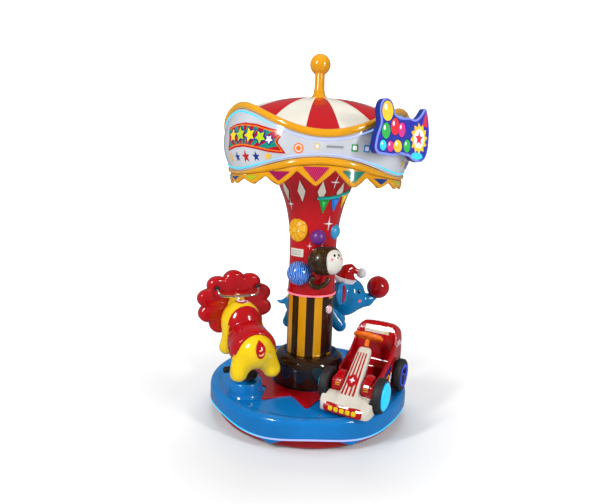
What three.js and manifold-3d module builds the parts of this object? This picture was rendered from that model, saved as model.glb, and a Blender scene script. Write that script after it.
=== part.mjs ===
// Merry go round for three small riders: a lion and an elephant that bob on plungers, and a kart that
// stands on the deck. A gear motor with a rubber roller turns the deck, the column and the canopy.
// Millimetres, +Z up. The origin is on the spin axis at floor level, and the front faces -Y.
import * as THREE from 'three';
import { mergeVertices } from 'three/addons/utils/BufferGeometryUtils.js';
import Module from 'manifold-3d';

const wasm = await Module();
wasm.setup();

// ---- driving dimensions ----
const GAP = 0.3;
const WALL = 5;
const DECK_R = 680;
const DECK_FLOOR = 190;
const DECK_LIP = 205;
const SKIRT_R = 632;
const SKIRT_TOP = 100;
const LOBE_ANGLE = 213.6;
const LOBES = 3;
const DRIP_ANGLES = [12, 54, 132, 174, 252, 294];
const DRUM_R = 245;
const DRUM_TOP = 395;
const COLUMN_R = 158;
const COLUMN_TOP = 810;
const CEILING_Z = 1640;
const APEX_Z = 2100;
const CANOPY_R = 615;
const TRIM_HEIGHT = 43;
const FLAG_TIP = 1538;
const FLAGS = 17;
const FINIAL_TOP = 2388;
const FINIAL_R = 67;
const FRAME_BOTTOM = 22;
const FRAME_TOP = 52;
const ARM_BOTTOM = 140;
const ARM_TOP = 180;
const FRICTION_R = 200;
const ROLLER_R = 40;
const PLUNGER_R = 22;
const LIFT = 80;
const BOSS_R = 108;
const BOSS_TOP = 280;
const LION = { x: -403, y: -287, yaw: 117 };
const ELEPHANT = { x: 30, y: 450, yaw: -2 };
const KART = { x: 349, y: -312, yaw: 243 };
const TYRE_R = 105;

// ---- colours ----
const RED = 0xc40d12;
const AMBER = 0xf0a30a;
const BLUE = 0x0b6fc7;
const YELLOW = 0xf2c80c;
const SKY = 0x1583bd;
const CREAM = 0xf0e8d8;
const BROWN = 0x2e1a0e;
const BLACK = 0x151515;
const STEEL = 0x8d9298;
const ORANGE = 0xf06a0c;
const LED_CYAN = 0x49dcff;

// ---- helpers ----
const rad = (degrees) => (degrees * Math.PI) / 180;
const range = (count) => [...Array(count).keys()];
const vec = (x, y, z) => new THREE.Vector3(x, y, z);
const polar = (radius, angle, z) => vec(radius * Math.cos(rad(angle)), radius * Math.sin(rad(angle)), z);
const angleOf = (place) => (Math.atan2(place.y, place.x) * 180) / Math.PI;
const radiusOf = (place) => Math.hypot(place.x, place.y);
const lobeWave = (angle) => Math.cos(LOBES * rad(angle - LOBE_ANGLE));

const model = new THREE.Group();

function placed(x, y, yaw) {
  const group = new THREE.Group();
  group.position.set(x, y, 0);
  group.rotation.z = rad(yaw);
  model.add(group);
  return group;
}

const lionGroup = placed(LION.x, LION.y, LION.yaw);
const elephantGroup = placed(ELEPHANT.x, ELEPHANT.y, ELEPHANT.yaw);
const kartGroup = placed(KART.x, KART.y, KART.yaw);

// One closed skin whose shared corners are merged and whose flat slivers are dropped.
function weld(geometry) {
  const bare = new THREE.BufferGeometry();
  bare.setAttribute('position', geometry.getAttribute('position'));
  bare.setIndex(geometry.getIndex());
  const merged = mergeVertices(bare, 1e-3);
  const index = merged.getIndex().array;
  const kept = [];
  for (let i = 0; i < index.length; i += 3) {
    const [a, b, c] = [index[i], index[i + 1], index[i + 2]];
    if (a !== b && b !== c && c !== a) kept.push(a, b, c);
  }
  merged.setIndex(kept);
  return merged;
}

function toSolid(geometry) {
  const skin = weld(geometry);
  const mesh = new wasm.Mesh({
    numProp: 3,
    vertProperties: new Float32Array(skin.getAttribute('position').array),
    triVerts: new Uint32Array(skin.getIndex().array),
  });
  return new wasm.Manifold(mesh);
}

function toGeometry(body) {
  const mesh = body.getMesh();
  const geometry = new THREE.BufferGeometry();
  geometry.setAttribute('position', new THREE.BufferAttribute(new Float32Array(mesh.vertProperties), 3));
  geometry.setIndex([...mesh.triVerts]);
  return geometry;
}

const join = (...shapes) => shapes.map(toSolid).reduce((sum, next) => sum.add(next));
const without = (body, ...tools) => tools.map(toSolid).reduce((rest, tool) => rest.subtract(tool), body);

function add(name, shape, color, roughness = 0.35, metalness = 0, parent = model) {
  const geometry = shape.isBufferGeometry ? weld(shape) : toGeometry(shape);
  geometry.computeVertexNormals();
  const mesh = new THREE.Mesh(geometry, new THREE.MeshStandardMaterial({ color, roughness, metalness }));
  mesh.name = name;
  parent.add(mesh);
}

// A ring around Z. loopAt(angle) is a closed [radius, z] outline, up the outside and down the inside.
function ring(steps, loopAt) {
  const loops = range(steps).map((i) => loopAt((i * 360) / steps));
  const size = loops[0].length;
  const position = [];
  const index = [];
  loops.forEach((loop, i) => {
    loop.forEach(([radius, z], j) => {
      position.push(...polar(radius, (i * 360) / steps, z).toArray());
      const a = i * size + j;
      const b = ((i + 1) % steps) * size + j;
      const c = ((i + 1) % steps) * size + ((j + 1) % size);
      const d = i * size + ((j + 1) % size);
      index.push(a, b, d, b, c, d);
    });
  });
  const geometry = new THREE.BufferGeometry();
  geometry.setAttribute('position', new THREE.Float32BufferAttribute(position, 3));
  geometry.setIndex(index);
  return geometry;
}

const evenRing = (steps, loop) => ring(steps, () => loop);

// A solid turned about Z from an outline that starts and ends on the axis, listed upwards.
function turned(outline, steps = 24) {
  const points = outline.map(([radius, z]) => new THREE.Vector2(radius, z));
  return new THREE.LatheGeometry(points, steps).rotateX(Math.PI / 2);
}

function rod(radius, bottom, top, steps = 20) {
  return turned([[0, bottom], [radius, bottom], [radius, top], [0, top]], steps);
}

function box(low, high) {
  const size = high.map((value, i) => value - low[i]);
  const middle = high.map((value, i) => (value + low[i]) / 2);
  return new THREE.BoxGeometry(...size).translate(...middle);
}

function ball(centre, radii, around = 12, up = 8) {
  return new THREE.SphereGeometry(1, around, up).rotateX(Math.PI / 2).scale(...radii).translate(...centre);
}

// A round-ended limb that tapers from one end to the other.
function limb(from, to, fromR, toR, around = 8) {
  const start = vec(...from);
  const along = vec(...to).sub(start);
  const length = along.length();
  const quarter = range(3).map((i) => rad(45 * i));
  const foot = quarter.map((a) => new THREE.Vector2(fromR * Math.sin(a), -fromR * Math.cos(a)));
  const head = quarter.map((a) => new THREE.Vector2(toR * Math.cos(a), length + toR * Math.sin(a)));
  const geometry = new THREE.LatheGeometry([...foot, ...head], around);
  const turn = new THREE.Quaternion().setFromUnitVectors(vec(0, 1, 0), along.normalize());
  return geometry.applyQuaternion(turn).translate(...from);
}

function tube(points, radius, steps = 16, sides = 7) {
  const corner = (i) => new THREE.Vector2(radius * Math.cos((i * 2 * Math.PI) / sides),
    radius * Math.sin((i * 2 * Math.PI) / sides));
  const section = new THREE.Shape(range(sides).map(corner));
  const extrudePath = new THREE.CatmullRomCurve3(points.map((p) => vec(...p)));
  return new THREE.ExtrudeGeometry(section, { steps, bevelEnabled: false, extrudePath });
}

// A flat outline in the local X-Z plane, drawn out along Y and centred on it.
function slab(outline, width) {
  const shape = new THREE.Shape(outline.map(([x, z]) => new THREE.Vector2(x, z)));
  const geometry = new THREE.ExtrudeGeometry(shape, { depth: width, bevelEnabled: false });
  return geometry.rotateX(Math.PI / 2).translate(0, width / 2, 0);
}

// ---- base ----
const MOTOR_ANGLE = 45;
const GEARBOX_TOP = 90;
const ROLLER_TOP = 134;
const ROLLER_AT = FRICTION_R + GAP + ROLLER_R;
const FOOT_AT = 560;

function baseSkirt() {
  const loop = [[607, 4], [612, 4], [629, 24], [SKIRT_R, SKIRT_TOP], [SKIRT_R - WALL, SKIRT_TOP],
    [624, 26]];
  const hole = box([-23, 590, 41], [23, 650, 73]);
  add('base_skirt', without(toSolid(evenRing(36, loop)), hole), RED);
}

function baseFrame() {
  const arm = (angle) => box([100, -30, FRAME_BOTTOM], [612, 30, FRAME_TOP]).rotateZ(rad(angle));
  const arms = range(4).map((i) => arm(45 + 90 * i));
  const plate = box([205, -60, FRAME_TOP - 1], [410, 60, FRAME_TOP + 4]);
  const plates = [MOTOR_ANGLE, MOTOR_ANGLE + 180].map((angle) => plate.clone().rotateZ(rad(angle)));
  add('base_frame', join(rod(150, FRAME_BOTTOM, FRAME_TOP), rod(60, 0, FRAME_TOP), ...arms, ...plates),
    STEEL, 0.5, 0.7);
}

function levellingFeet() {
  range(4).forEach((i) => {
    const foot = turned([[0, 0], [32, 0], [32, 8], [11, 13], [11, FRAME_BOTTOM - GAP],
      [0, FRAME_BOTTOM - GAP]], 12);
    foot.translate(...polar(FOOT_AT, 45 + 90 * i, 0).toArray());
    add(`levelling_foot_${i + 1}`, foot, BLACK, 0.7);
  });
}

function bearingAndSlipRing() {
  const fixed = [[70, FRAME_TOP + GAP], [99.2, FRAME_TOP + GAP], [99.2, 84], [70, 84]];
  add('slewing_ring_fixed', evenRing(36, fixed), STEEL, 0.3, 0.9);
  const turning = [[100, 56], [130, 56], [130, 88], [100, 88]];
  add('slewing_ring_turning', evenRing(36, turning), STEEL, 0.3, 0.9);
  const brushes = [[22, FRAME_TOP + GAP], [34, FRAME_TOP + GAP], [34, 110], [22, 110]];
  add('slip_ring_brushes', evenRing(24, brushes), BLACK, 0.5);
  add('slip_ring_core', rod(20, 60, 171.7), 0xb5772d, 0.3, 0.8);
}

function drive() {
  const gearbox = box([205, -45, 56.3], [400, 45, GEARBOX_TOP]);
  const motor = rod(42, GEARBOX_TOP - 1, ROLLER_TOP).translate(345, 0, 0);
  const unit = join(gearbox, motor).rotate([0, 0, MOTOR_ANGLE]);
  add('gear_motor', unit, 0x3d464d, 0.45, 0.5);
  const roller = turned([[0, GEARBOX_TOP + GAP], [8, GEARBOX_TOP + GAP], [8, 98], [ROLLER_R, 98],
    [ROLLER_R, ROLLER_TOP], [0, ROLLER_TOP]]);
  add('drive_roller', roller.translate(...polar(ROLLER_AT, MOTOR_ANGLE, 0).toArray()), BLACK, 0.8);
}

function controlBox() {
  const body = box([220, -55, FRAME_TOP + 4 + GAP], [400, 55, 100]);
  const lid = box([216, -58, 94], [404, 58, 104]);
  add('control_box', join(body, lid).rotate([0, 0, MOTOR_ANGLE + 180]), 0x9aa0a5, 0.5, 0.3);
}

function powerInlet() {
  const body = join(box([-22, 600, 42], [22, 634, 72]), box([-32, 632.5, 34], [32, 638, 80]));
  add('power_inlet', without(body, box([-14, 616, 48], [14, 640, 66])), BLACK, 0.5);
}

// ---- deck ----
const deckEdge = (angle) => 90 + 5 * lobeWave(angle) + 14 * Math.cos(2 * LOBES * rad(angle - LOBE_ANGLE));

function deckShell() {
  const loopAt = (angle) => {
    const edge = deckEdge(angle);
    const tip = edge - (DRIP_ANGLES.includes(Math.round(angle)) ? 42 : 14);
    return [[663, tip], [668, tip], [668, edge], [DECK_R, edge + 2], [DECK_R, 170], [668, 196],
      [640, DECK_LIP], [590, DECK_FLOOR], [232, DECK_FLOOR], [232, DECK_FLOOR - WALL],
      [591, DECK_FLOOR - WALL], [640, 199], [674, 168], [674, edge + 7], [663, edge + 4]];
  };
  const places = [LION, ELEPHANT];
  const boss = ({ x, y }) => turned([[0, DECK_FLOOR - WALL], [BOSS_R + 10, DECK_FLOOR - WALL],
    [BOSS_R + 10, DECK_FLOOR], [BOSS_R, 214], [BOSS_R - 2, 268], [BOSS_R - 14, BOSS_TOP], [0, BOSS_TOP]])
    .translate(x, y, 0);
  const hollow = ({ x, y }) => turned([[0, 150], [BOSS_R - 3, 150], [BOSS_R - 7, 266], [BOSS_R - 18, 275],
    [0, 275]]).translate(x, y, 0);
  const mouth = ({ x, y }) => rod(PLUNGER_R + 6, 260, 300).translate(x, y, 0);
  const raised = [ring(60, loopAt), ...places.map(boss)];
  add('deck_shell', without(join(...raised), ...places.map(hollow), ...places.map(mouth)), BLUE, 0.2);
}

function deckLight() {
  const loopAt = (angle) => {
    const top = deckEdge(angle) - 0.8;
    return [[668.5, top - 9], [678, top - 8], [679, top], [668.5, top - 1]];
  };
  add('deck_led_strip', ring(60, loopAt), LED_CYAN, 0.4);
}

function deckStar() {
  const POINTS = 10;
  const TIP_R = 500;
  const NOTCH_R = 330;
  const corners = range(2 * POINTS).map((i) => {
    const angle = rad(270 + (i * 180) / POINTS);
    const radius = i % 2 ? NOTCH_R : TIP_R;
    return new THREE.Vector2(radius * Math.cos(angle), radius * Math.sin(angle));
  });
  const shape = new THREE.Shape(corners);
  const hole = range(40).map((i) => polar(DRUM_R + 1, i * 9, 0));
  shape.holes.push(new THREE.Path(hole.map((p) => new THREE.Vector2(p.x, p.y))));
  const plate = new THREE.ExtrudeGeometry(shape, { depth: 5, bevelEnabled: false });
  const clear = [LION, ELEPHANT].map(({ x, y }) => rod(BOSS_R + 14, 150, 300, 40).translate(x, y, 0));
  add('deck_star_trim', without(toSolid(plate.translate(0, 0, DECK_FLOOR + 2.5)), ...clear), RED, 0.25);
}

// ---- turntable ----
function turntableFrame() {
  const hubLoop = [[75, 88.3], [130, 88.3], [130, 98], [90, 98], [90, ARM_TOP], [10, ARM_TOP], [10, 172],
    [80, 172], [80, 98], [75, 98]];
  const drum = evenRing(40, [[188, 92], [FRICTION_R, 92], [FRICTION_R, 145], [188, 145]]);
  const rides = [LION, ELEPHANT, KART];
  const between = [266.7, 22.1, 150.8];
  const arms = [...rides.map(angleOf), ...between].map((angle) => box([84, -22, ARM_BOTTOM],
    [600, 22, ARM_TOP]).rotateZ(rad(angle)));
  const onDeck = [LION, ELEPHANT];
  const sleeves = onDeck.map(({ x, y }) => rod(38, ARM_BOTTOM - 6, ARM_TOP + 3, 16).translate(x, y, 0));
  const bores = onDeck.map(({ x, y }) => rod(PLUNGER_R + 1.5, 100, 200, 16).translate(x, y, 0));
  add('turntable_frame', without(join(evenRing(20, hubLoop), drum, ...arms, ...sleeves), ...bores),
    STEEL, 0.5, 0.7);
}

// The post, the oval pad and the footrest bar that lift one animal. The post ends against its belly.
function plunger(name, lift, parent, belly) {
  const post = rod(PLUNGER_R, 62, 470);
  const pad = rod(1, 312, 326, 28).scale(92, 70, 1);
  const spine = box([0, -20, 300], [120, 20, 318]);
  const bar = limb([120, -115, 308], [120, 115, 308], 24, 24);
  const raised = join(post, pad, spine, bar).translate([0, 0, lift]);
  add(name, without(raised, ...belly), BLACK, 0.8, 0, parent);
}

// ---- column ----
const BUTTON = { angle: 319, z: 720, radius: 24 };

function drumShell() {
  const loop = [[240, DECK_FLOOR + GAP], [DRUM_R, DECK_FLOOR + GAP], [DRUM_R, 340], [232, 373],
    [190, DRUM_TOP], [140, DRUM_TOP], [140, 390], [188, 390], [228, 369], [240, 338]];
  add('drum_shell', evenRing(32, loop), BROWN, 0.15);
}

function columnShells() {
  const lower = evenRing(36, [[COLUMN_R - WALL, DRUM_TOP + GAP], [COLUMN_R, DRUM_TOP + GAP],
    [COLUMN_R, COLUMN_TOP - GAP], [COLUMN_R - WALL, COLUMN_TOP - GAP]]);
  const hole = rod(BUTTON.radius + 0.7, -30, 30).rotateY(Math.PI / 2).rotateZ(rad(BUTTON.angle))
    .translate(...polar(COLUMN_R, BUTTON.angle, BUTTON.z).toArray());
  add('column_lower', without(toSolid(lower), hole), AMBER, 0.3);
  const light = [[150, COLUMN_TOP], [164, COLUMN_TOP], [167, 816], [164, 821.7], [150, 821.7]];
  add('column_led_ring', evenRing(28, light), 0xff6a8a, 0.4);
  add('column_upper', evenRing(28, upperLoop(0)), RED, 0.2);
}

function upperLoop(grow) {
  const outside = [[165, 822.3], [160, 990], [160, 1170], [179, 1335], [226, 1500], [304, CEILING_Z - 12]];
  const inside = outside.map(([radius, z]) => [radius - WALL, z]).reverse();
  return [...outside.map(([radius, z]) => [radius + grow, z]), ...inside];
}

// The upper column as one thick body, grown by the gap, to seat what is fixed on its face.
function columnBody() {
  const outside = upperLoop(GAP).slice(0, 6);
  return turned([[0, 822], ...outside, [0, CEILING_Z]], 28);
}

function onColumn(name, angle, z, offset, radii, color, roughness = 0.3) {
  const { x, y } = polar(offset, angle, z);
  const dome = ball([0, 0, 0], radii).rotateZ(rad(angle)).translate(x, y, z);
  add(name, without(toSolid(dome), columnBody()), color, roughness);
}

function columnToys() {
  onColumn('dome_orange', 230, 1254, 158, [40, 74, 80], ORANGE);
  onColumn('ball_blue', 240, 967, 172, [80, 80, 80], BLUE);
  onColumn('ball_purple', 281, 1211, 162, [48, 50, 50], 0x6a2f9a);
  onColumn('ball_cyan', 330, 1246, 160, [34, 50, 50], 0x4aa3d8);
  onColumn('monkey_head', 289, 1061, 200, [100, 100, 100], BROWN);
  const arm = tube([[112, -186, 948], [92, -200, 914], [52, -212, 894], [12, -214, 896], [-8, -204, 918],
    [8, -196, 942]], 15, 20);
  const headRoom = ball([...polar(200, 289, 1061).toArray()], [101, 101, 101]);
  add('monkey_arm', without(toSolid(arm), columnBody(), headRoom), BROWN);
}

function startButton() {
  const cap = turned([[0, -14], [BUTTON.radius, -14], [BUTTON.radius, 12], [16, 18], [0, 20]], 24);
  cap.rotateY(Math.PI / 2).rotateZ(rad(BUTTON.angle));
  add('start_button', cap.translate(...polar(COLUMN_R, BUTTON.angle, BUTTON.z).toArray()), 0xf4d8dc, 0.3);
}

function centralMast() {
  add('central_mast', evenRing(24, [[38, ARM_TOP + GAP], [45, ARM_TOP + GAP], [45, 1650], [38, 1650]]),
    STEEL, 0.4, 0.8);
}

// ---- canopy ----
const whiteTop = (angle) => 1886 + 88 * lobeWave(angle);
const whiteBottom = (angle) => 1656 - 41 * lobeWave(angle);

// The fascia bulges outwards round its mid height.
function bulge(z) {
  const offset = (z - 1790) / 190;
  return CANOPY_R - (z > 1790 ? 45 : 70) * offset * offset;
}

function canopyFrame() {
  const arms = range(6).map((i) => box([40, -18, 1662], [500, 18, 1690]).rotateZ(rad(30 + 60 * i)));
  add('canopy_frame', join(rod(80, 1650.3, 1700), rod(24, 1690, 2085), ...arms), STEEL, 0.5, 0.7);
}

function canopyCeiling() {
  const loopAt = (angle) => {
    const edge = bulge(whiteBottom(angle)) - 52;
    return [[305, CEILING_Z], [edge, CEILING_Z], [edge, CEILING_Z + WALL], [305, CEILING_Z + WALL]];
  };
  add('canopy_ceiling', ring(48, loopAt), 0xf2a23a, 0.4);
}

function canopyRoof() {
  const STEPS = 3;
  const loopAt = (angle) => {
    const rimZ = whiteTop(angle) - 8;
    const rimR = bulge(rimZ) - 10;
    const outer = range(STEPS + 1).map((i) => {
      const t = i / STEPS;
      return [58 + (rimR - 58) * t, APEX_Z - (APEX_Z - rimZ) * t ** 1.5];
    });
    const under = outer.map(([radius, z]) => [radius, z - WALL]);
    return [...outer.reverse(), ...under];
  };
  add('canopy_roof', ring(48, loopAt), RED, 0.2);
}

function fascia() {
  const loopAt = (angle) => {
    const low = whiteBottom(angle);
    const high = whiteTop(angle);
    const heights = range(4).map((i) => low + ((high - low) * i) / 3);
    const outside = heights.map((z) => [bulge(z), z]);
    return [...outside, ...outside.map(([radius, z]) => [radius - WALL, z]).reverse()];
  };
  add('fascia_band', ring(48, loopAt), 0xf1f2f6, 0.2);
}

const trimSection = (radius, z, half) => [[radius - half, z], [radius - half * 0.6, z - half],
  [radius + half * 0.6, z - half], [radius + half, z], [radius + half * 0.6, z + half],
  [radius - half * 0.6, z + half]];

function fasciaTrims() {
  const half = TRIM_HEIGHT / 2;
  const upper = (angle) => {
    const z = whiteTop(angle) + 2 * GAP + half;
    return trimSection(bulge(z), z, half);
  };
  const lower = (angle) => {
    const z = whiteBottom(angle) - 2 * GAP - half;
    return trimSection(bulge(z) - 2, z, half);
  };
  add('fascia_trim_upper', ring(48, upper), AMBER, 0.25);
  add('fascia_trim_lower', ring(48, lower), AMBER, 0.25);
}

function fasciaLights() {
  const strip = (z) => [[bulge(z - 4) + 0.8, z - 4], [bulge(z - 4) + 6, z - 4], [bulge(z + 4) + 6, z + 4],
    [bulge(z + 4) + 0.8, z + 4]];
  add('fascia_led_upper', ring(48, (angle) => strip(whiteTop(angle) - 14)), LED_CYAN, 0.4);
  add('fascia_led_lower', ring(48, (angle) => strip(whiteBottom(angle) + 14)), LED_CYAN, 0.4);
}

function valance() {
  const STEPS_PER_FLAG = 4;
  const drops = [0, 0.5, 1, 0.5];
  const steps = FLAGS * STEPS_PER_FLAG;
  const shift = Math.round((270 / 360) * steps) % STEPS_PER_FLAG;
  const loopAt = (angle) => {
    const step = Math.round((angle / 360) * steps);
    const top = whiteBottom(angle) - TRIM_HEIGHT - 3;
    const share = drops[(step - shift + 2 * STEPS_PER_FLAG + 2) % STEPS_PER_FLAG];
    const bottom = top - 10 - (top - 10 - FLAG_TIP) * share;
    const radius = bulge(top + TRIM_HEIGHT / 2) - 4;
    return [[radius - 6, bottom], [radius + 6, bottom], [radius + 6, top], [radius - 6, top]];
  };
  add('valance', ring(steps, loopAt), AMBER, 0.3);
}

function signBoard() {
  const SIGN = { angle: 316, back: 640, z: 1845, thick: 40 };
  const outline = [[-262, -100], [-235, -125], [-90, -128], [-40, -112], [60, -116], [110, -140],
    [190, -150], [240, -120], [262, -60], [262, 40], [240, 118], [205, 178], [160, 122], [110, 88],
    [40, 96], [-40, 84], [-100, 96], [-112, 130], [-140, 165], [-190, 172], [-226, 145], [-236, 100],
    [-214, 40], [-250, -30]];
  const plate = slab(outline, SIGN.thick).rotateZ(Math.PI / 2)
    .translate(SIGN.back + SIGN.thick / 2, 0, SIGN.z);
  const stub = (y, z) => rod(14, 600, SIGN.back + 2, 16).rotateY(Math.PI / 2).translate(0, y, z);
  const shell = evenRing(48, [[500, 1700], ...range(5).map((i) => 1700 + 62 * i)
    .map((z) => [bulge(z) + 1, z]), [500, 1948]]);
  const board = join(plate, stub(130, 1830), stub(-130, 1830));
  add('sign_board', without(board, shell).rotate([0, 0, SIGN.angle]), 0x2b3fd0, 0.3);
}

function finial() {
  const centre = FINIAL_TOP - FINIAL_R;
  const neck = Math.acos(33 / FINIAL_R);
  const arc = range(8).map((i) => -neck + ((Math.PI / 2 + neck) * i) / 7);
  const outline = [[0, APEX_Z + 1], [66, APEX_Z + 1], [52, 2116], [38, 2140], [33, 2180],
    ...arc.map((a) => [FINIAL_R * Math.cos(a), centre + FINIAL_R * Math.sin(a)])];
  add('finial', turned(outline, 16), AMBER, 0.2);
}

// ---- lion: nose towards local +X ----
function lionShapes(grow) {
  const g = (radii) => radii.map((radius) => radius + grow);
  const legs = [1, -1].flatMap((side) => [
    limb([-150, side * 62, 480], [-172, side * 104, 392], 74 + grow, 52 + grow),
    limb([110, side * 60, 560], [132, side * 92, 470], 66 + grow, 48 + grow)]);
  return [
    ball([-60, 0, 540], g([200, 118, 112])),
    ball([-128, 0, 520], g([128, 128, 118])),
    ball([120, 0, 628], g([140, 132, 148])),
    ball([330, 0, 735], g([120, 142, 140])),
    ball([432, 0, 700], g([64, 78, 54])),
    ...legs];
}

function lion() {
  const body = join(...lionShapes(0));
  add('lion_body', body, YELLOW, 0.25, 0, lionGroup);
  const lobes = 10;
  const centre = 728;
  const outline = range(lobes * 4).map((i) => {
    const angle = (i * Math.PI) / (lobes * 2);
    const puff = 1 + 0.1 * Math.abs(Math.sin((angle * lobes) / 2)) - 0.08;
    return [262 * puff * Math.cos(angle), centre + 222 * puff * Math.sin(angle)];
  });
  const disc = slab(outline, 104).rotateZ(Math.PI / 2).translate(268, 0, 0);
  add('lion_mane', without(toSolid(disc), ...lionShapes(0.8)), RED, 0.2, 0, lionGroup);
  const cloth = join(ball([-58, 0, 540], [196, 130, 126], 14, 10), ball([-120, 0, 526], [122, 140, 128],
    14, 10));
  const over = slab([[-190, 800], [-190, 560], [-172, 450], [-146, 400], [-96, 410], [-24, 462],
    [50, 540], [96, 600], [96, 800]], 400);
  const draped = cloth.intersect(toSolid(over));
  const postRoom = rod(PLUNGER_R + 1, 300, 500);
  add('lion_cape', without(draped, postRoom, ...lionShapes(0.8)), RED, 0.2, 0, lionGroup);
  const grip = tube([[206, 140, 852], [192, 142, 838], [164, 132, 812], [150, 100, 800], [148, 0, 798],
    [150, -100, 800], [164, -132, 812], [192, -142, 838], [206, -140, 852]], 9, 20);
  add('lion_handle', grip, 0xc9ccd0, 0.1, 1, lionGroup);
  plunger('lion_plunger', 0, lionGroup, lionShapes(0.6));
}

// ---- elephant: trunk towards local +X, stored at the top of its lift ----
const TRUNK_TIP = [462, 0, 700];
const NOSE_BALL = { centre: [492, 0, 775], radius: 88 };

function elephantShapes(grow) {
  const g = (radii) => radii.map((radius) => radius + grow);
  const legs = [1, -1].flatMap((side) => [
    limb([-150, side * 66, 560], [-196, side * 84, 486], 62 + grow, 46 + grow),
    limb([120, side * 62, 560], [172, side * 88, 462], 60 + grow, 46 + grow)]);
  const ear = (side) => ball([0, 0, 0], g([24, 92, 88])).rotateZ(side * 0.45)
    .translate(206, side * 142, 738);
  return [
    ball([-20, 0, 610], g([216, 140, 128])),
    ball([262, 0, 710], g([132, 124, 134])),
    limb([300, 0, 660], TRUNK_TIP, 92 + grow, 30 + grow),
    limb([-200, 0, 640], [-292, 0, 622], 40 + grow, 12 + grow),
    ear(1), ear(-1), ...legs];
}

function elephant() {
  const snug = ball(NOSE_BALL.centre, range(3).map(() => NOSE_BALL.radius + 0.6), 16, 10);
  add('elephant_body', without(join(...elephantShapes(0)), snug), SKY, 0.25, 0, elephantGroup);
  add('elephant_ball', ball(NOSE_BALL.centre, range(3).map(() => NOSE_BALL.radius), 16, 10), RED, 0.2, 0,
    elephantGroup);
  const hat = join(turned([[0, 790], [92, 790], [100, 812], [92, 838], [70, 850], [58, 890], [34, 925],
    [0, 936]], 16), limb([20, 0, 900], [78, 0, 896], 34, 26), ball([112, 0, 894], [42, 42, 42]));
  add('elephant_hat', without(hat.rotate([0, 12, 0]).translate([62, 0, 28]), ...elephantShapes(0.8)),
    RED, 0.3, 0, elephantGroup);
  const grip = tube([[150, 150, 800], [128, 152, 822], [96, 140, 838], [88, 100, 842], [86, 0, 842],
    [88, -100, 842], [96, -140, 838], [128, -152, 822], [150, -150, 800]], 9, 20);
  add('elephant_handle', without(toSolid(grip), ...elephantShapes(0.8)), 0xc9ccd0, 0.1, 1, elephantGroup);
  plunger('elephant_plunger', LIFT, elephantGroup, elephantShapes(0.6));
}

// ---- kart: nose towards local +X ----
const KART_FLOOR = 207;
const TYRE_AT = { front: 138, rear: -248, side: 174, z: 206 + TYRE_R };
const HOOD = [[290, 214], [308, 236], [300, 262], [236, 318], [120, 420], [20, 506], [-22, 534], [-40, 520],
  [-30, 470], [60, 380], [140, 300], [180, 214]];

function hoodBody(grow) {
  return slab(HOOD.map(([x, z]) => [x - (x > 0 ? 0 : grow), z + (z < 230 ? 0 : grow)]), 104 + 2 * grow);
}

// The room that the two tyres of one axle take out of the body.
function tyreRoom(x) {
  return [1, -1].map((flank) => rod(TYRE_R + 8, -34, 34).rotateX(Math.PI / 2)
    .translate(x, flank * TYRE_AT.side, TYRE_AT.z));
}

function kartTub() {
  const side = [[-318, KART_FLOOR], [176, KART_FLOOR], [186, 300], [176, 366], [96, 380], [10, 410],
    [-110, 452], [-190, 520], [-236, 600], [-256, 636], [-292, 644], [-330, 600], [-334, 420]];
  const shell = toSolid(slab(side, 300));
  const well = slab([[-150, 236], [84, 236], [84, 700], [-262, 700], [-226, 560], [-206, 390],
    [-150, 372]], 256);
  const arches = [TYRE_AT.front, TYRE_AT.rear].flatMap(tyreRoom);
  const nose = box([150, -60, 180], [400, 60, 420]);
  const tongue = slab([[-60, 236], [-60, 560], [180, 560], [180, 180], [84, 180]], 108);
  add('kart_tub', without(shell, well, nose, tongue, ...arches), RED, 0.2, 0, kartGroup);
}

function kartNose() {
  const apron = slab([[190, 208], [308, 208], [318, 232], [300, 266], [236, 300], [190, 306]], 330);
  const body = join(apron, slab(HOOD, 104));
  add('kart_nose', without(body, ...tyreRoom(TYRE_AT.front)), CREAM, 0.2, 0, kartGroup);
}

function kartTyres() {
  const section = [[0, -22], [TYRE_R - 16, -28], [TYRE_R, -17], [TYRE_R, 17], [TYRE_R - 16, 28], [0, 22]];
  ['front', 'rear'].forEach((axle) => {
    [['left', 1], ['right', -1]].forEach(([side, flank]) => {
      const tyre = turned(section, 20).rotateX(Math.PI / 2);
      tyre.translate(TYRE_AT[axle], flank * TYRE_AT.side, TYRE_AT.z);
      add(`kart_tyre_${axle}_${side}`, tyre, BLACK, 0.6, 0, kartGroup);
    });
  });
}

// The wheel turns about an axis that leans back from vertical, towards the rider.
const STEER = { x: -72, z: 588, lean: 28 };

function steering() {
  const lean = (geometry) => geometry.rotateY(rad(-STEER.lean)).translate(STEER.x, 0, STEER.z);
  add('steering_column', lean(rod(15, -66, -14, 16)), ORANGE, 0.3, 0, kartGroup);
  const rim = new THREE.TorusGeometry(84, 13, 6, 20);
  const spokes = box([-10, -80, -7], [10, 80, 7]);
  const spoke = box([-80, -10, -7], [0, 10, 7]);
  const wheel = join(rim, spokes, spoke, rod(26, -13, 12, 20));
  const turn = [0, -STEER.lean, 0];
  add('steering_wheel', wheel.rotate(turn).translate([STEER.x, 0, STEER.z]), ORANGE, 0.3, 0, kartGroup);
}

// ---- assembly ----
[baseSkirt, baseFrame, levellingFeet, bearingAndSlipRing, drive, controlBox, powerInlet, deckShell,
  deckLight, deckStar, turntableFrame, drumShell, columnShells, columnToys, startButton, centralMast,
  canopyFrame, canopyCeiling, canopyRoof, fascia, fasciaTrims, fasciaLights, valance, signBoard, finial,
  lion, elephant, kartTub, kartNose, kartTyres, steering].forEach((build) => build());

export default model;
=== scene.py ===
"""Looks of the small circus merry go round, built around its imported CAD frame.

Lengths are in millimetres and angles in degrees until a mesh is made, which turns them into metres.
"""

import math

import bmesh
import bpy
import numpy as np
import openvdb
from mathutils import Matrix, Vector, geometry


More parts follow.
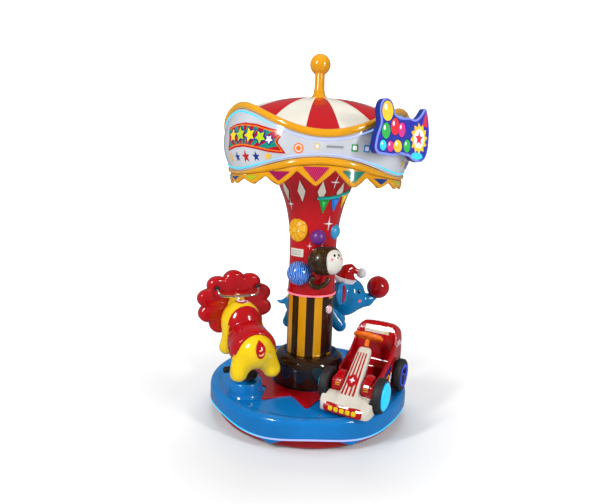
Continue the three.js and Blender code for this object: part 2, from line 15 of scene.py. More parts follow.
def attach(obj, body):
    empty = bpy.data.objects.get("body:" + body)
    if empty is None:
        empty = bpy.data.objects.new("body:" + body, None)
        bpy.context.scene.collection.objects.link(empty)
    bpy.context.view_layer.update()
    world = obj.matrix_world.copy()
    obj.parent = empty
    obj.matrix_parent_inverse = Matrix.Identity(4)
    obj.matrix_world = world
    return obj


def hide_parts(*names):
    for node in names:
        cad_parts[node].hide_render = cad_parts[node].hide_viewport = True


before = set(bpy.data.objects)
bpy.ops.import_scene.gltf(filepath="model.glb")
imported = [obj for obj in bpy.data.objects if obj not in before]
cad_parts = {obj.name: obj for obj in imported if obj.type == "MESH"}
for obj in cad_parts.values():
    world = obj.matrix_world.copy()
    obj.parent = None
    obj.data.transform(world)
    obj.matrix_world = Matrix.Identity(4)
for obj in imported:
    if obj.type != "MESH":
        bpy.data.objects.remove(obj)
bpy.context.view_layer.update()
MM = 0.001

# ---- driving sizes, the same as the CAD part's ----
DECK_R, DECK_FLOOR, DECK_LIP = 680, 190, 205
SKIRT_R, SKIRT_FOOT, SKIRT_TOP = 632, 4, 100
LOBE_ANGLE, LOBES = 213.6, 3
DRIPS = (12, 54, 132, 174, 252, 294)
DRUM_R, DRUM_TOP = 245, 395
COLUMN_R, COLUMN_TOP = 158, 810
CEILING_Z, APEX_Z, DOME_POWER = 1640, 2100, 1.8
CANOPY_R, TRIM = 615, 43
FLAG_TIP, FLAGS = 1538, 17
FINIAL_TOP, FINIAL_R = 2388, 67
BOSS_R, BOSS_TOP = 108, 280
LIFT = 80
LION = (-403, -287, 117)
ELEPHANT = (30, 450, -2)
KART = (349, -312, 243)
TYRE_R = 105
BUTTON_ANGLE, BUTTON_Z, BUTTON_R = 319, 720, 24
STEER_X, STEER_Z, STEER_LEAN = -72, 588, 28
SIGN_ANGLE, SIGN_BACK, SIGN_Z, SIGN_THICK = 316, 640, 1845, 40

# ---- colours, as linear RGB ----
RED = (0.44, 0.0012, 0.006)
DEEP_RED = (0.36, 0.001, 0.012)
AMBER = (0.68, 0.30, 0.004)
YELLOW = (0.88, 0.60, 0.006)
BLUE = (0.001, 0.19, 0.56)
SKY = (0.002, 0.25, 0.60)
BROWN = (0.026, 0.010, 0.005)
WHITE = (0.80, 0.82, 0.88)
CREAM = (0.70, 0.665, 0.575)
BLACK = (0.010, 0.010, 0.011)
ORANGE = (0.90, 0.16, 0.005)
CYAN = (0.02, 0.62, 1.0)
LAVENDER = (0.45, 0.50, 1.0)
TEAL = (0.004, 0.22, 0.17)
NAVY = (0.008, 0.022, 0.22)
LIME = (0.42, 0.55, 0.01)
PINK = (0.95, 0.22, 0.30)


def sin(angle):
    return math.sin(math.radians(angle))


def cos(angle):
    return math.cos(math.radians(angle))


def polar(radius, angle, z):
    return (radius * cos(angle), radius * sin(angle), z)


def lobe_wave(angle):
    return cos(LOBES * (angle - LOBE_ANGLE))


# ---- materials ----
GELCOAT_GLOSS, GRAPHIC_GLOSS = 0.6, 0.2
SMEAR_DEPTH = 0.14


class Graph:
    """A material's node tree, with short calls to add and join nodes."""

    def __init__(self, name):
        self.material = bpy.data.materials.new(name)
        self.material.use_nodes = True
        self.nodes = self.material.node_tree.nodes
        self.links = self.material.node_tree.links
        self.shader = self.nodes["Principled BSDF"]

    def add(self, kind, **inputs):
        node = self.nodes.new("ShaderNode" + kind)
        for key, value in inputs.items():
            self.set(node.inputs[key.replace("_", " ")], value)
        return node

    def set(self, socket, value):
        if isinstance(value, bpy.types.NodeSocket):
            self.links.new(value, socket)
        else:
            socket.default_value = value

    def math(self, operation, a, b=0.0):
        node = self.nodes.new("ShaderNodeMath")
        node.operation = operation
        self.set(node.inputs[0], a)
        self.set(node.inputs[1], b)
        return node.outputs[0]

    def mix(self, share, a, b):
        node = self.nodes.new("ShaderNodeMix")
        node.data_type = "RGBA"
        for socket, value in ((node.inputs[0], share), (node.inputs[6], a), (node.inputs[7], b)):
            self.set(socket, (*value, 1) if isinstance(value, tuple) else value)
        return node.outputs[2]

    def place(self):
        return self.nodes.new("ShaderNodeTexCoord").outputs["Object"]

    def uv(self):
        node = self.add("SeparateXYZ")
        self.links.new(self.nodes.new("ShaderNodeTexCoord").outputs["UV"], node.inputs[0])
        return node.outputs[0], node.outputs[1]

    def turn(self):
        """The angle round Z, in turns from 0 to 1."""
        split = self.add("SeparateXYZ", Vector=self.place())
        angle = self.math("ARCTAN2", split.outputs[1], split.outputs[0])
        return self.math("FRACT", self.math("DIVIDE", angle, 2 * math.pi))

    def noise(self, scale, detail=3.0):
        return self.add("TexNoise", Vector=self.place(), Scale=scale, Detail=detail).outputs[0]

    def ramp(self, value, low, high, start, end):
        node = self.add("MapRange", Value=value)
        node.inputs["From Min"].default_value = low
        node.inputs["From Max"].default_value = high
        node.inputs["To Min"].default_value = start
        node.inputs["To Max"].default_value = end
        return node.outputs[0]

    def finish(self, color, rough=(0.12, 0.22), metal=0.0, coat=0.0, bump=0.02, grain=90.0, smear=5.0):
        """Shades the colour with faint smears, uneven gloss and the fine ripple of a moulded skin."""
        smears = self.noise(smear, 5.0)
        shade = self.ramp(smears, 0.35, 0.7, SMEAR_DEPTH, 0.0)
        self.set(self.shader.inputs["Base Color"], self.mix(shade, color, (0.0, 0.0, 0.0)))
        self.set(self.shader.inputs["Roughness"], self.ramp(smears, 0.3, 0.75, *rough))
        self.shader.inputs["Metallic"].default_value = metal
        self.shader.inputs["Coat Weight"].default_value = coat
        self.shader.inputs["Specular IOR Level"].default_value = 0.3 if coat else 0.5
        self.shader.inputs["Coat Roughness"].default_value = 0.04
        if bump:
            ripple = self.add("Bump", Strength=bump, Distance=0.002, Height=self.noise(grain, 2.0))
            self.set(self.shader.inputs["Normal"], ripple.outputs[0])
        return self.material

    def banded(self, share, first, second):
        """The first colour below half of a value from 0 to 1 and the second above."""
        return self.finish(self.mix(self.math("GREATER_THAN", share, 0.5), first, second), coat=GRAPHIC_GLOSS)

    def glow(self, color, strength):
        self.set(self.shader.inputs["Emission Color"], (*color, 1) if isinstance(color, tuple) else color)
        self.shader.inputs["Emission Strength"].default_value = strength


def gelcoat(name, color, **options):
    return Graph(name).finish(color, coat=GELCOAT_GLOSS, **options)


def plain(name, color, rough=(0.45, 0.6), metal=0.0, bump=0.1, grain=160.0):
    return Graph(name).finish(color, rough, metal, 0.0, bump, grain, 9.0)


def lit(name, color, strength, edge=None):
    """A lit diffuser: soft cells of light along it, brighter where the light sources sit."""
    graph = Graph(name)
    cells = graph.ramp(graph.noise(38.0, 1.0), 0.3, 0.7, 0.0, 1.0)
    tint = graph.mix(cells, color, edge or tuple(value * 0.72 + 0.03 for value in color))
    graph.finish(graph.mix(0.55, tint, BLACK), rough=(0.3, 0.4), bump=0.0)
    graph.glow(tint, strength)
    return graph.material


def lobe_light(name, strength):
    """Light that is cyan round the lobes and lavender in the valleys between them."""
    graph = Graph(name)
    phase = graph.math("MULTIPLY", graph.math("SUBTRACT", graph.turn(), LOBE_ANGLE / 360),
                       LOBES * 2 * math.pi)
    share = graph.ramp(graph.math("COSINE", phase), -0.6, 0.5, 0.0, 1.0)
    tint = graph.mix(share, LAVENDER, CYAN)
    graph.finish(graph.mix(0.6, tint, BLACK), rough=(0.3, 0.4), bump=0.0)
    graph.glow(tint, strength)
    return graph.material


def gored(name, first, second, count, shift):
    """Alternate gores of two colours round Z, meeting at a sharp edge."""
    graph = Graph(name)
    turn = graph.math("SUBTRACT", graph.turn(), shift / 360)
    return graph.banded(graph.math("FRACT", graph.math("MULTIPLY", turn, count)), first, second)


def rayed(name, first, second, centre_v, count):
    """Rays that fan out from a point under a flat graphic, drawn in its own flat coordinates."""
    graph = Graph(name)
    u, v = graph.uv()
    angle = graph.math("ARCTAN2", graph.math("SUBTRACT", v, centre_v), u)
    return graph.banded(graph.math("FRACT", graph.math("MULTIPLY", angle, count / math.pi)), first, second)


def lined(name, first, second, pitch, slope):
    """Slanted parallel stripes across a flat graphic."""
    graph = Graph(name)
    u, v = graph.uv()
    across = graph.math("ADD", u, graph.math("MULTIPLY", v, slope))
    return graph.banded(graph.math("FRACT", graph.math("DIVIDE", across, pitch)), first, second)


def speckled(name, ground, fleck):
    """A moulded fur skin: short flecks of a lighter colour over a dark ground, with deep ripples."""
    graph = Graph(name)
    flecks = graph.add("TexVoronoi", Vector=graph.place(), Scale=150.0).outputs["Distance"]
    share = graph.ramp(flecks, 0.16, 0.34, 1.0, 0.0)
    share = graph.math("MULTIPLY", share, graph.ramp(graph.noise(30.0), 0.42, 0.62, 0.0, 1.0))
    return graph.finish(graph.mix(share, ground, fleck), rough=(0.2, 0.35), coat=0.2, bump=0.7, grain=140.0)


def veined(name, ground, vein):
    """Fine wavy pale lines over a plain ground."""
    graph = Graph(name)
    waves = graph.add("TexWave", Vector=graph.place(), Scale=26.0, Distortion=9.0, Detail=2.0).outputs[1]
    return graph.finish(graph.mix(graph.ramp(waves, 0.90, 0.98, 0.0, 1.0), ground, vein), coat=0.22)


def swirl(name, first, second, turns):
    """Two colours wound into a spiral round the middle of a flat graphic."""
    graph = Graph(name)
    u, v = graph.uv()
    angle = graph.math("DIVIDE", graph.math("ARCTAN2", v, u), 2 * math.pi)
    radius = graph.math("SQRT", graph.math("ADD", graph.math("MULTIPLY", u, u), graph.math("MULTIPLY", v, v)))
    band = graph.math("FRACT", graph.math("ADD", angle, graph.math("MULTIPLY", radius, turns)))
    return graph.banded(band, first, second)


RED_COAT = gelcoat("red_gelcoat", RED)
DEEP_COAT = gelcoat("deep_red_gelcoat", DEEP_RED)
BLUE_COAT = gelcoat("blue_gelcoat", BLUE)
AMBER_COAT = gelcoat("amber_gelcoat", AMBER)
YELLOW_COAT = gelcoat("yellow_gelcoat", YELLOW)
SKY_COAT = gelcoat("sky_gelcoat", SKY)
BROWN_COAT = gelcoat("brown_gelcoat", BROWN, rough=(0.08, 0.2))
WHITE_COAT = gelcoat("white_gelcoat", WHITE)
CREAM_COAT = gelcoat("cream_gelcoat", CREAM)
ORANGE_COAT = gelcoat("orange_gelcoat", ORANGE)
NAVY_COAT = gelcoat("navy_gelcoat", NAVY)
GOLD_COAT = gelcoat("gold_gelcoat", (0.80, 0.45, 0.02))
BLACK_COAT = gelcoat("black_gelcoat", BLACK)
PINK_COAT = gelcoat("pink_gelcoat", PINK)
RUBBER = plain("black_rubber", BLACK, rough=(0.6, 0.8), bump=0.25, grain=300.0)
STEEL = plain("frame_steel", (0.16, 0.17, 0.19), rough=(0.4, 0.55), metal=0.5)
BRIGHT_STEEL = plain("bright_steel", (0.5, 0.5, 0.52), rough=(0.22, 0.35), metal=1.0, bump=0.05)
CHROME = plain("chrome_bar", (0.75, 0.75, 0.77), rough=(0.05, 0.12), metal=1.0, bump=0.01)
COPPER = plain("copper_ring", (0.55, 0.25, 0.10), rough=(0.25, 0.4), metal=1.0)
MOTOR_COAT = plain("motor_paint", (0.04, 0.055, 0.07), rough=(0.4, 0.55), metal=0.2)
CASE_COAT = plain("case_paint", (0.30, 0.32, 0.34), rough=(0.4, 0.55), metal=0.2)
TURQUOISE_COAT = gelcoat("turquoise_gelcoat", (0.01, 0.42, 0.40))
GREEN_COAT = gelcoat("green_gelcoat", (0.01, 0.28, 0.05))
LIME_COAT = gelcoat("lime_gelcoat", LIME)
GREY_COAT = gelcoat("grey_gelcoat", (0.25, 0.26, 0.28))
FUR_COAT = speckled("fur_gelcoat", (0.024, 0.012, 0.004), (0.34, 0.20, 0.05))
FASCIA_COAT = gelcoat("fascia_gelcoat", (0.50, 0.52, 0.56))
CEILING_COAT = lit("ceiling_panel", (0.95, 0.42, 0.05), 0.35)
ROOF_COAT = gored("roof_gelcoat", RED, CREAM, 9, 263)
VALANCE_COAT = gelcoat("valance_gelcoat", AMBER)
FLEECE = plain("white_fleece", WHITE, rough=(0.8, 0.95), bump=0.9, grain=420.0)
TYRE_RUBBER = plain("tyre_black", (0.016, 0.016, 0.018), rough=(0.5, 0.7), bump=0.3, grain=260.0)
BANNER_RAYS = rayed("banner_rays", DEEP_RED, TEAL, -0.09, 9)
SWIRL_WARM = swirl("swirl_warm", RED, (0.9, 0.5, 0.2), 26)
SWIRL_PALE = swirl("swirl_pale", WHITE, RED, 30)
FACE_COAT = gelcoat("face_gelcoat", (0.66, 0.64, 0.58))
DARK_RED_COAT = gelcoat("dark_red_gelcoat", (0.16, 0.0008, 0.003))
PURPLE_COAT = gelcoat("purple_gelcoat", (0.16, 0.012, 0.20))
BALL_BLUE = veined("ball_blue_gelcoat", (0.002, 0.12, 0.56), (0.55, 0.72, 0.95))
LOBE_LIGHT = lobe_light("lobe_light", 0.95)
PINK_LIGHT = lit("pink_light", (1.0, 0.16, 0.24), 1.2)
CYAN_LIGHT = lit("cyan_light", (0.01, 0.33, 0.62), 0.5)
PURPLE_LIGHT = lit("purple_light", (0.20, 0.02, 0.27), 0.35, (0.10, 0.02, 0.22))
DOME_LIGHT = lit("dome_light", (0.95, 0.42, 0.005), 0.42, (0.95, 0.55, 0.02))
HUB_LIGHT = lit("hub_light", (0.0, 0.62, 0.98), 0.85)
REAR_LIGHT = lit("rear_hub_light", (0.01, 0.06, 0.9), 0.9)
BUTTON_GLOW = lit("button_face", (0.95, 0.62, 0.66), 0.5)
LIT_WHITE = lit("lit_white", (0.9, 0.92, 1.0), 0.9)
LIT_RED = lit("lit_red", (0.95, 0.01, 0.03), 0.55)
LIT_GREEN = lit("lit_green", (0.02, 0.60, 0.08), 0.5)
LIT_BLUE = lit("lit_blue", (0.01, 0.20, 0.95), 0.6)
LIT_YELLOW = lit("lit_yellow", (0.98, 0.62, 0.01), 0.8)
LIT_PINK = lit("lit_pink", (0.9, 0.02, 0.30), 0.6)
LIT_CYAN = lit("lit_cyan", CYAN, 0.9)
LIT_LIME = gelcoat("pennant_lime", (0.36, 0.46, 0.01))
LIT_MAGENTA = gelcoat("pennant_magenta", (0.30, 0.003, 0.07))
LIT_STRIPE = lined("pennant_stripes", (0.30, 0.003, 0.07), (0.50, 0.03, 0.10), 0.012, 0.6)
LIT_TEAL = gelcoat("pennant_teal", (0.004, 0.17, 0.13))
LIT_NAVY = gelcoat("pennant_navy", (0.004, 0.035, 0.19))
LIT_RIM = lit("lit_rim", (0.22, 0.28, 0.95), 0.75)
LIT_ROYAL = lit("lit_royal", (0.008, 0.02, 0.50), 0.5)


# ---- mesh helpers ----
def make(name, points, faces, body, material, replaces=(), slot=None):
    """A piece from points in millimetres. It rides on a body and may stand for CAD nodes."""
    mesh = bpy.data.meshes.new(name)
    mesh.from_pydata([tuple(value * MM for value in point) for point in points], [], faces)
    build = bmesh.new()
    build.from_mesh(mesh)
    bmesh.ops.remove_doubles(build, verts=build.verts, dist=2e-5)
    bmesh.ops.recalc_face_normals(build, faces=build.faces)
    build.to_mesh(mesh)
    build.free()
    piece = bpy.data.objects.new(name, mesh)
    bpy.context.scene.collection.objects.link(piece)
    mesh.materials.append(material)
    mesh.shade_smooth()
    mesh.set_sharp_from_angle(angle=math.radians(42))
    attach(piece, body)
    if replaces:
        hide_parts(*replaces)
    return piece


def ring_mesh(steps, loop_at):
    """Points and faces of a closed ring round Z. loop_at(angle) gives its [radius, z] outline."""
    loops = [loop_at(360 * i / steps) for i in range(steps)]
    size = len(loops[0])
    points = [polar(radius, 360 * i / steps, z) for i, loop in enumerate(loops) for radius, z in loop]
    faces = []
    for i in range(steps):
        for j in range(size):
            here, there = i * size, (i + 1) % steps * size
            nxt = (j + 1) % size
            faces.append((here + j, there + j, there + nxt, here + nxt))
    return points, faces


def turned_mesh(outline, steps=64):
    """Points and faces of a solid turned round Z from an outline that starts and ends on the axis."""
    points, faces = [], []
    for i in range(steps):
        points += [polar(radius, 360 * i / steps, z) for radius, z in outline]
    size = len(outline)
    for i in range(steps):
        here, there = i * size, (i + 1) % steps * size
        faces += [(here + j, there + j, there + j + 1, here + j + 1) for j in range(size - 1)]
    return points, drop_flat(points, faces)


def drop_flat(points, faces):
    """The faces without corners that fall together, as they do on the axis."""
    kept = []
    for face in faces:
        corners = []
        for index in face:
            if not corners or math.dist(points[index], points[corners[-1]]) > 1e-6:
                corners.append(index)
        if math.dist(points[corners[0]], points[corners[-1]]) < 1e-6:
            corners.pop()
        if len(corners) > 2:
            kept.append(tuple(corners))
    return kept


def rounded(outline, radius, steps=4):
    """A closed outline whose corners are rounded by short arcs."""
    result = []
    for i, corner in enumerate(outline):
        before, after = Vector(outline[i - 1]), Vector(outline[(i + 1) % len(outline)])
        here = Vector(corner)
        reach = min(radius, (before - here).length * 0.45, (after - here).length * 0.45)
        start = here + (before - here).normalized() * reach
        end = here + (after - here).normalized() * reach
        for k in range(steps + 1):
            t = k / steps
            result.append(tuple(start * (1 - t) ** 2 + here * 2 * t * (1 - t) + end * t * t))
    return result


def smooth_path(points, steps):
    """A Catmull-Rom path through the points."""
    path, last = [], len(points) - 1
    for i in range(last):
        p = [Vector(points[min(max(i + k, 0), last)]) for k in (-1, 0, 1, 2)]
        for k in range(steps):
            t = k / steps
            path.append(0.5 * (2 * p[1] + (p[2] - p[0]) * t + (2 * p[0] - 5 * p[1] + 4 * p[2] - p[3]) * t * t
                               + (3 * p[1] - p[0] - 3 * p[2] + p[3]) * t ** 3))
    return path + [Vector(points[-1])]


def tube_mesh(path, radius, sides=16, closed=False):
    """A tube of even or varying radius along a path, with flat ends."""
    count = len(path)
    radii = [radius(i / (count - 1)) for i in range(count)] if callable(radius) else [radius] * count
    points, faces = [], []
    side = Vector((0.0, 0.0, 1.0))
    for i in range(count):
        ahead = path[(i + 1) % count] if closed else path[min(i + 1, count - 1)]
        behind = path[i - 1] if closed or i else path[0]
        along = (ahead - behind).normalized()
        side = side - along * side.dot(along)
        side = side.normalized() if side.length > 1e-6 else along.orthogonal().normalized()
        other = along.cross(side)
        points += [tuple(path[i] + (side * cos(360 * k / sides) + other * sin(360 * k / sides)) * radii[i])
                   for k in range(sides)]
    for i in range(count if closed else count - 1):
        here, there = i * sides, (i + 1) % count * sides
        faces += [(here + k, here + (k + 1) % sides, there + (k + 1) % sides, there + k)
                  for k in range(sides)]
    if not closed:
        faces += [tuple(range(sides)), tuple(range((count - 1) * sides, count * sides))]
    return points, faces


def merged(*parts):
    """Several parts as one set of points and faces."""
    points, faces = [], []
    for more_points, more_faces in parts:
        start = len(points)
        points += list(more_points)
        faces += [tuple(start + index for index in face) for face in more_faces]
    return points, faces


def moved(part, matrix):
    points, faces = part
    return [tuple(matrix @ Vector(point)) for point in points], faces


def ride_matrix(place):
    x, y, yaw = place
    return Matrix.Translation((x, y, 0)) @ Matrix.Rotation(math.radians(yaw), 4, "Z")


def facing(angle, radius, z):
    """Turns a piece drawn round local Z so that Z points outwards at an angle round the column."""
    return (Matrix.Translation(polar(radius, angle, z)) @ Matrix.Rotation(math.radians(angle), 4, "Z")
            @ Matrix.Rotation(math.radians(90), 4, "Y"))


def flat_fill(outline, step):
    """Small triangles that fill a flat outline."""
    xs, ys = [p[0] for p in outline], [p[1] for p in outline]
    inner = []
    x = min(xs) + step / 2
    while x < max(xs):
        y = min(ys) + step / 2
        while y < max(ys):
            if inside(outline, x, y, step * 0.3):
                inner.append((x, y))
            y += step
        x += step
    dense = []
    for i, point in enumerate(outline):
        after = outline[(i + 1) % len(outline)]
        parts = max(1, int(math.dist(point, after) / step))
        dense += [(point[0] + (after[0] - point[0]) * k / parts, point[1] + (after[1] - point[1]) * k / parts)
                  for k in range(parts)]
    edges = [(i, (i + 1) % len(dense)) for i in range(len(dense))]
    verts = [Vector(point) for point in dense + inner]
    result = geometry.delaunay_2d_cdt(verts, edges, [], 1, 1e-5)
    return [tuple(v) for v in result[0]], [tuple(f) for f in result[2]]


def inside(outline, x, y, margin):
    """Whether a point lies inside an outline and further from it than a margin."""
    hit, near = False, 1e9
    for i, (ax, ay) in enumerate(outline):
        bx, by = outline[(i + 1) % len(outline)]
        if (ay > y) != (by > y) and x < (bx - ax) * (y - ay) / (by - ay) + ax:
            hit = not hit
        span = (bx - ax) ** 2 + (by - ay) ** 2
        t = min(1, max(0, ((x - ax) * (bx - ax) + (y - ay) * (by - ay)) / span)) if span else 0
        near = min(near, math.hypot(x - ax - t * (bx - ax), y - ay - t * (by - ay)))
    return hit and near > margin


def patch_mesh(outline, surface, low, high, step=14):
    """A thin closed plate that follows a surface. surface(points)(height) gives the points at a height."""
    flat, faces = flat_fill(outline, step)
    at = surface(flat)
    return at(high) + at(low), closed_plate(faces, len(flat)), flat


def closed_plate(faces, count):
    """The top faces, the same faces turned over on the lower points, and walls round their edges."""
    edges = {(a, face[(i + 1) % len(face)]): True for face in faces for i, a in enumerate(face)}
    walls = [(a, b, b + count, a + count) for a, b in edges if (b, a) not in edges]
    return faces + [tuple(i + count for i in reversed(face)) for face in faces] + walls


def patch(name, outline, surface, material, body="rotor", low=0.2, high=1.6, step=14):
    """A flat graphic laid on a surface, with its own flat coordinates for patterns."""
    points, faces, flat = patch_mesh(outline, surface, low, high, step)
    piece = make(name, points, faces, body, material)
    layer = piece.data.uv_layers.new(name="flat")
    table = {}
    for i, point in enumerate(points):
        table[tuple(round(value * MM, 4) for value in point)] = flat[i % len(flat)]
    for loop in piece.data.loops:
        co = piece.data.vertices[loop.vertex_index].co
        u, v = table.get(tuple(round(value, 4) for value in co), (0, 0))
        layer.data[loop.index].uv = (u * MM, v * MM)
    return piece


def star(points, outer, inner, turn=90):
    return [polar((outer, inner)[i % 2], turn + 180 * i / points, 0)[:2] for i in range(2 * points)]


def disc(radius_x, radius_y=None, steps=28):
    radius_y = radius_y or radius_x
    return [(radius_x * cos(360 * i / steps), radius_y * sin(360 * i / steps)) for i in range(steps)]


def plate(low_u, low_v, high_u, high_v, radius, steps):
    """A rectangle with rounded corners."""
    return rounded([(low_u, low_v), (high_u, low_v), (high_u, high_v), (low_u, high_v)], radius, steps)


def mirrored(half, middle):
    """A path from left to right: one half, the middle point and the half's reflection."""
    return half + [middle] + [(x, -y, z) for x, y, z in reversed(half)]


def shifted(outline, u, v):
    return [(x + u, y + v) for x, y in outline]


# ---- smooth solids from distance fields ----
def ellipsoid(centre, radii, yaw=0.0):
    def field(x, y, z):
        x, y, z = x - centre[0], y - centre[1], z - centre[2]
        x, y = cos(yaw) * x + sin(yaw) * y, cos(yaw) * y - sin(yaw) * x
        near = np.sqrt((x / radii[0]) ** 2 + (y / radii[1]) ** 2 + (z / radii[2]) ** 2) + 1e-9
        slope = np.sqrt((x / radii[0] ** 2) ** 2 + (y / radii[1] ** 2) ** 2 + (z / radii[2] ** 2) ** 2) + 1e-9
        return near * (near - 1) / slope
    return field


def limb(start, end, start_r, end_r):
    """A round limb between two points, whose radius changes evenly along it."""
    a, b = np.array(start, float), np.array(end, float)
    span = b - a

    def field(x, y, z):
        px, py, pz = x - a[0], y - a[1], z - a[2]
        t = np.clip((px * span[0] + py * span[1] + pz * span[2]) / (span @ span), 0, 1)
        away = np.sqrt((px - t * span[0]) ** 2 + (py - t * span[1]) ** 2 + (pz - t * span[2]) ** 2)
        return away - (start_r + (end_r - start_r) * t)
    return field


def soft_union(fields, blend):
    """The fields as one, with the creases between them filled."""
    def field(x, y, z):
        total = fields[0](x, y, z)
        for other in fields[1:]:
            value = other(x, y, z)
            share = np.clip(0.5 + 0.5 * (value - total) / blend, 0, 1)
            total = value * (1 - share) + total * share - blend * share * (1 - share)
        return total
    return field


def soft_cut(body, tool, blend):
    """The body without the tool, with the edge between them eased."""
    def field(x, y, z):
        a, b = body(x, y, z), -tool(x, y, z)
        share = np.clip(0.5 - 0.5 * (b - a) / blend, 0, 1)
        return b * (1 - share) + a * share + blend * share * (1 - share)
    return field


def grown(body, amount):
    return lambda x, y, z: body(x, y, z) - amount


def inverse(body):
    return lambda x, y, z: -body(x, y, z)


def eased(side, cap, ease):
    """Joins the distance to a side and the distance to an end over an edge of a given radius."""
    side, cap = side + ease, cap + ease
    outside = np.sqrt(np.maximum(side, 0) ** 2 + np.maximum(cap, 0) ** 2)
    return outside + np.minimum(np.maximum(side, cap), 0) - ease


def prism(outline, width, ease=0.0):
    """A side outline in the local X-Z plane drawn out along Y. width is a number or a function of x."""
    corners = np.array(outline, float)

    def field(x, y, z):
        near = np.full(x.shape, 1e9)
        sign = np.ones(x.shape)
        for i in range(len(corners)):
            a, b = corners[i], corners[i - 1]
            ex, ez = b - a
            wx, wz = x - a[0], z - a[1]
            t = np.clip((wx * ex + wz * ez) / (ex * ex + ez * ez), 0, 1)
            near = np.minimum(near, (wx - t * ex) ** 2 + (wz - t * ez) ** 2)
            above, below = z >= a[1], z < b[1]
            left = ex * wz > ez * wx
            flip = (above & below & left) | (~above & ~below & ~left)
            sign = np.where(flip, -sign, sign)
        half = (width(x) if callable(width) else width) / 2
        return eased(sign * np.sqrt(near), np.abs(y) - half, ease)
    return field


def field_mesh(field, low, high, cell):
    """The skin of a distance field between two corners, in cells of one size."""
    axes = [np.arange(low[k] - 2 * cell, high[k] + 2 * cell, cell) for k in range(3)]
    x, y, z = np.meshgrid(*axes, indexing="ij")
    values = np.clip(field(x, y, z), -3 * cell, 3 * cell).astype(np.float32)
    values[[0, -1], :, :] = values[:, [0, -1], :] = values[:, :, [0, -1]] = 3 * cell
    grid = openvdb.FloatGrid(3 * cell)
    grid.copyFromArray(values)
    points, quads = grid.convertToQuads(isovalue=0.0)
    corner = np.array([axis[0] for axis in axes])
    return [tuple(point) for point in points * cell + corner], [tuple(int(i) for i in quad) for quad in quads]


def both(first, second, blend):
    """The space that lies inside both fields."""
    return inverse(soft_union([inverse(first), inverse(second)], blend))


def sculpted(name, field, low, high, place, body, material, cell=6, **options):
    part = moved(field_mesh(field, low, high, cell), ride_matrix(place))
    return make(name, *part, body, material, **options)


def touches(field, starts, toward):
    """Where rays in one direction first meet a field's skin."""
    starts, toward = np.array(starts, float), np.array(toward, float)
    toward = toward / np.linalg.norm(toward)
    gone = np.zeros(len(starts))
    for _ in range(60):
        here = starts + np.outer(gone, toward)
        gap = field(here[:, 0], here[:, 1], here[:, 2])
        if np.all(gap < 0.05):
            break
        gone += np.where(gap < 0.05, 0, np.maximum(gap * 0.7, 0.05))
    return [Vector(point) for point in starts + np.outer(gone, toward)]


def thrown(field, place, start_at, toward):
    """A surface for graphics: flat coordinates are thrown onto a field's skin along one direction."""
    matrix = ride_matrix(place)
    ahead = Vector(toward).normalized()

    def surface(flat):
        hits = touches(field, [tuple(start_at(u, v)) for u, v in flat], ahead)
        return lambda lift: [tuple(matrix @ (hit - ahead * lift)) for hit in hits]
    return surface


def decal_surface(field, centre, toward, place):
    """Flat coordinates across the line of sight, thrown onto a field's skin round a point."""
    ahead = Vector(toward).normalized()
    right = ahead.cross(Vector((0, 0, 1))).normalized()
    over = right.cross(ahead)
    start = Vector(centre) - ahead * 160
    return thrown(field, place, lambda u, v: start + right * u + over * v, toward)


def pointwise(surface):
    """Turns a surface given point by point into one given for a whole list of points."""
    return lambda flat: lambda lift: [surface(u, v, lift) for u, v in flat]


def spun(name, steps, loop_at, body, material, **options):
    return make(name, *ring_mesh(steps, loop_at), body, material, **options)


# ---- base, deck and drum ----
def base_skirt():
    loop = rounded([(607, SKIRT_FOOT), (612, SKIRT_FOOT), (629, 24), (SKIRT_R, 52), (SKIRT_R, SKIRT_TOP),
                    (627, SKIRT_TOP), (624, 26)], 8)
    spun("base_skirt_skin", 180, lambda a: loop, "base", RED_COAT, replaces=["base_skirt"],
         slot="red_gelcoat")


def deck_edge(angle):
    return 90 + 5 * lobe_wave(angle) + 14 * cos(2 * LOBES * (angle - LOBE_ANGLE))


def drip(angle):
    """How far a drip reaches below the deck's edge, in millimetres."""
    near = min(abs((angle - spot + 180) % 360 - 180) for spot in DRIPS)
    return 28 * max(0.0, 1 - near / 9) ** 1.5


def deck_loop(angle):
    edge = deck_edge(angle)
    tip = edge - 14 - drip(angle)
    outline = [(663, tip), (668, tip), (668, edge), (DECK_R, edge + 2), (DECK_R, 172), (676, 190), (664, 200),
               (648, DECK_LIP), (628, 204), (606, 193), (590, DECK_FLOOR), (232, DECK_FLOOR), (232, 185),
               (591, 185), (640, 199), (674, 168), (674, edge + 7), (663, edge + 4)]
    return rounded(outline, 6, 3)


def deck():
    spun("deck_skin", 540, deck_loop, "rotor", BLUE_COAT, replaces=["deck_shell"], slot="blue_gelcoat")
    boss = rounded([(28, 189), (122, 189), (114, 198), (BOSS_R, 214), (106, 262), (101, 276), (94, BOSS_TOP),
                    (28, BOSS_TOP)], 5, 3)
    for name, place in (("lion", LION), ("elephant", ELEPHANT)):
        part = moved(ring_mesh(72, lambda a: boss), Matrix.Translation((place[0], place[1], 0)))
        make(f"deck_boss_{name}", *part, "rotor", BLUE_COAT, replaces=["deck_shell"])
    for index, angle in enumerate(range(0, 360, 45)):
        head = [(0, 196.4), (5, 196.2), (7.5, 194.6), (8, DECK_FLOOR - 1), (0, DECK_FLOOR - 1)]
        at = Matrix.Translation(polar(572, angle + 8, -1.5))
        make(f"deck_screw_{index}", *moved(turned_mesh(head, 20), at), "rotor", CHROME)


def deck_lights():
    def loop(angle):
        top = deck_edge(angle) - 0.8
        return [(668.5, top - 9), (676, top - 9), (678.6, top - 6), (679, top - 1), (668.5, top - 1)]
    spun("deck_light_strip", 360, loop, "rotor", LOBE_LIGHT, replaces=["deck_led_strip"], slot="led_cyan")


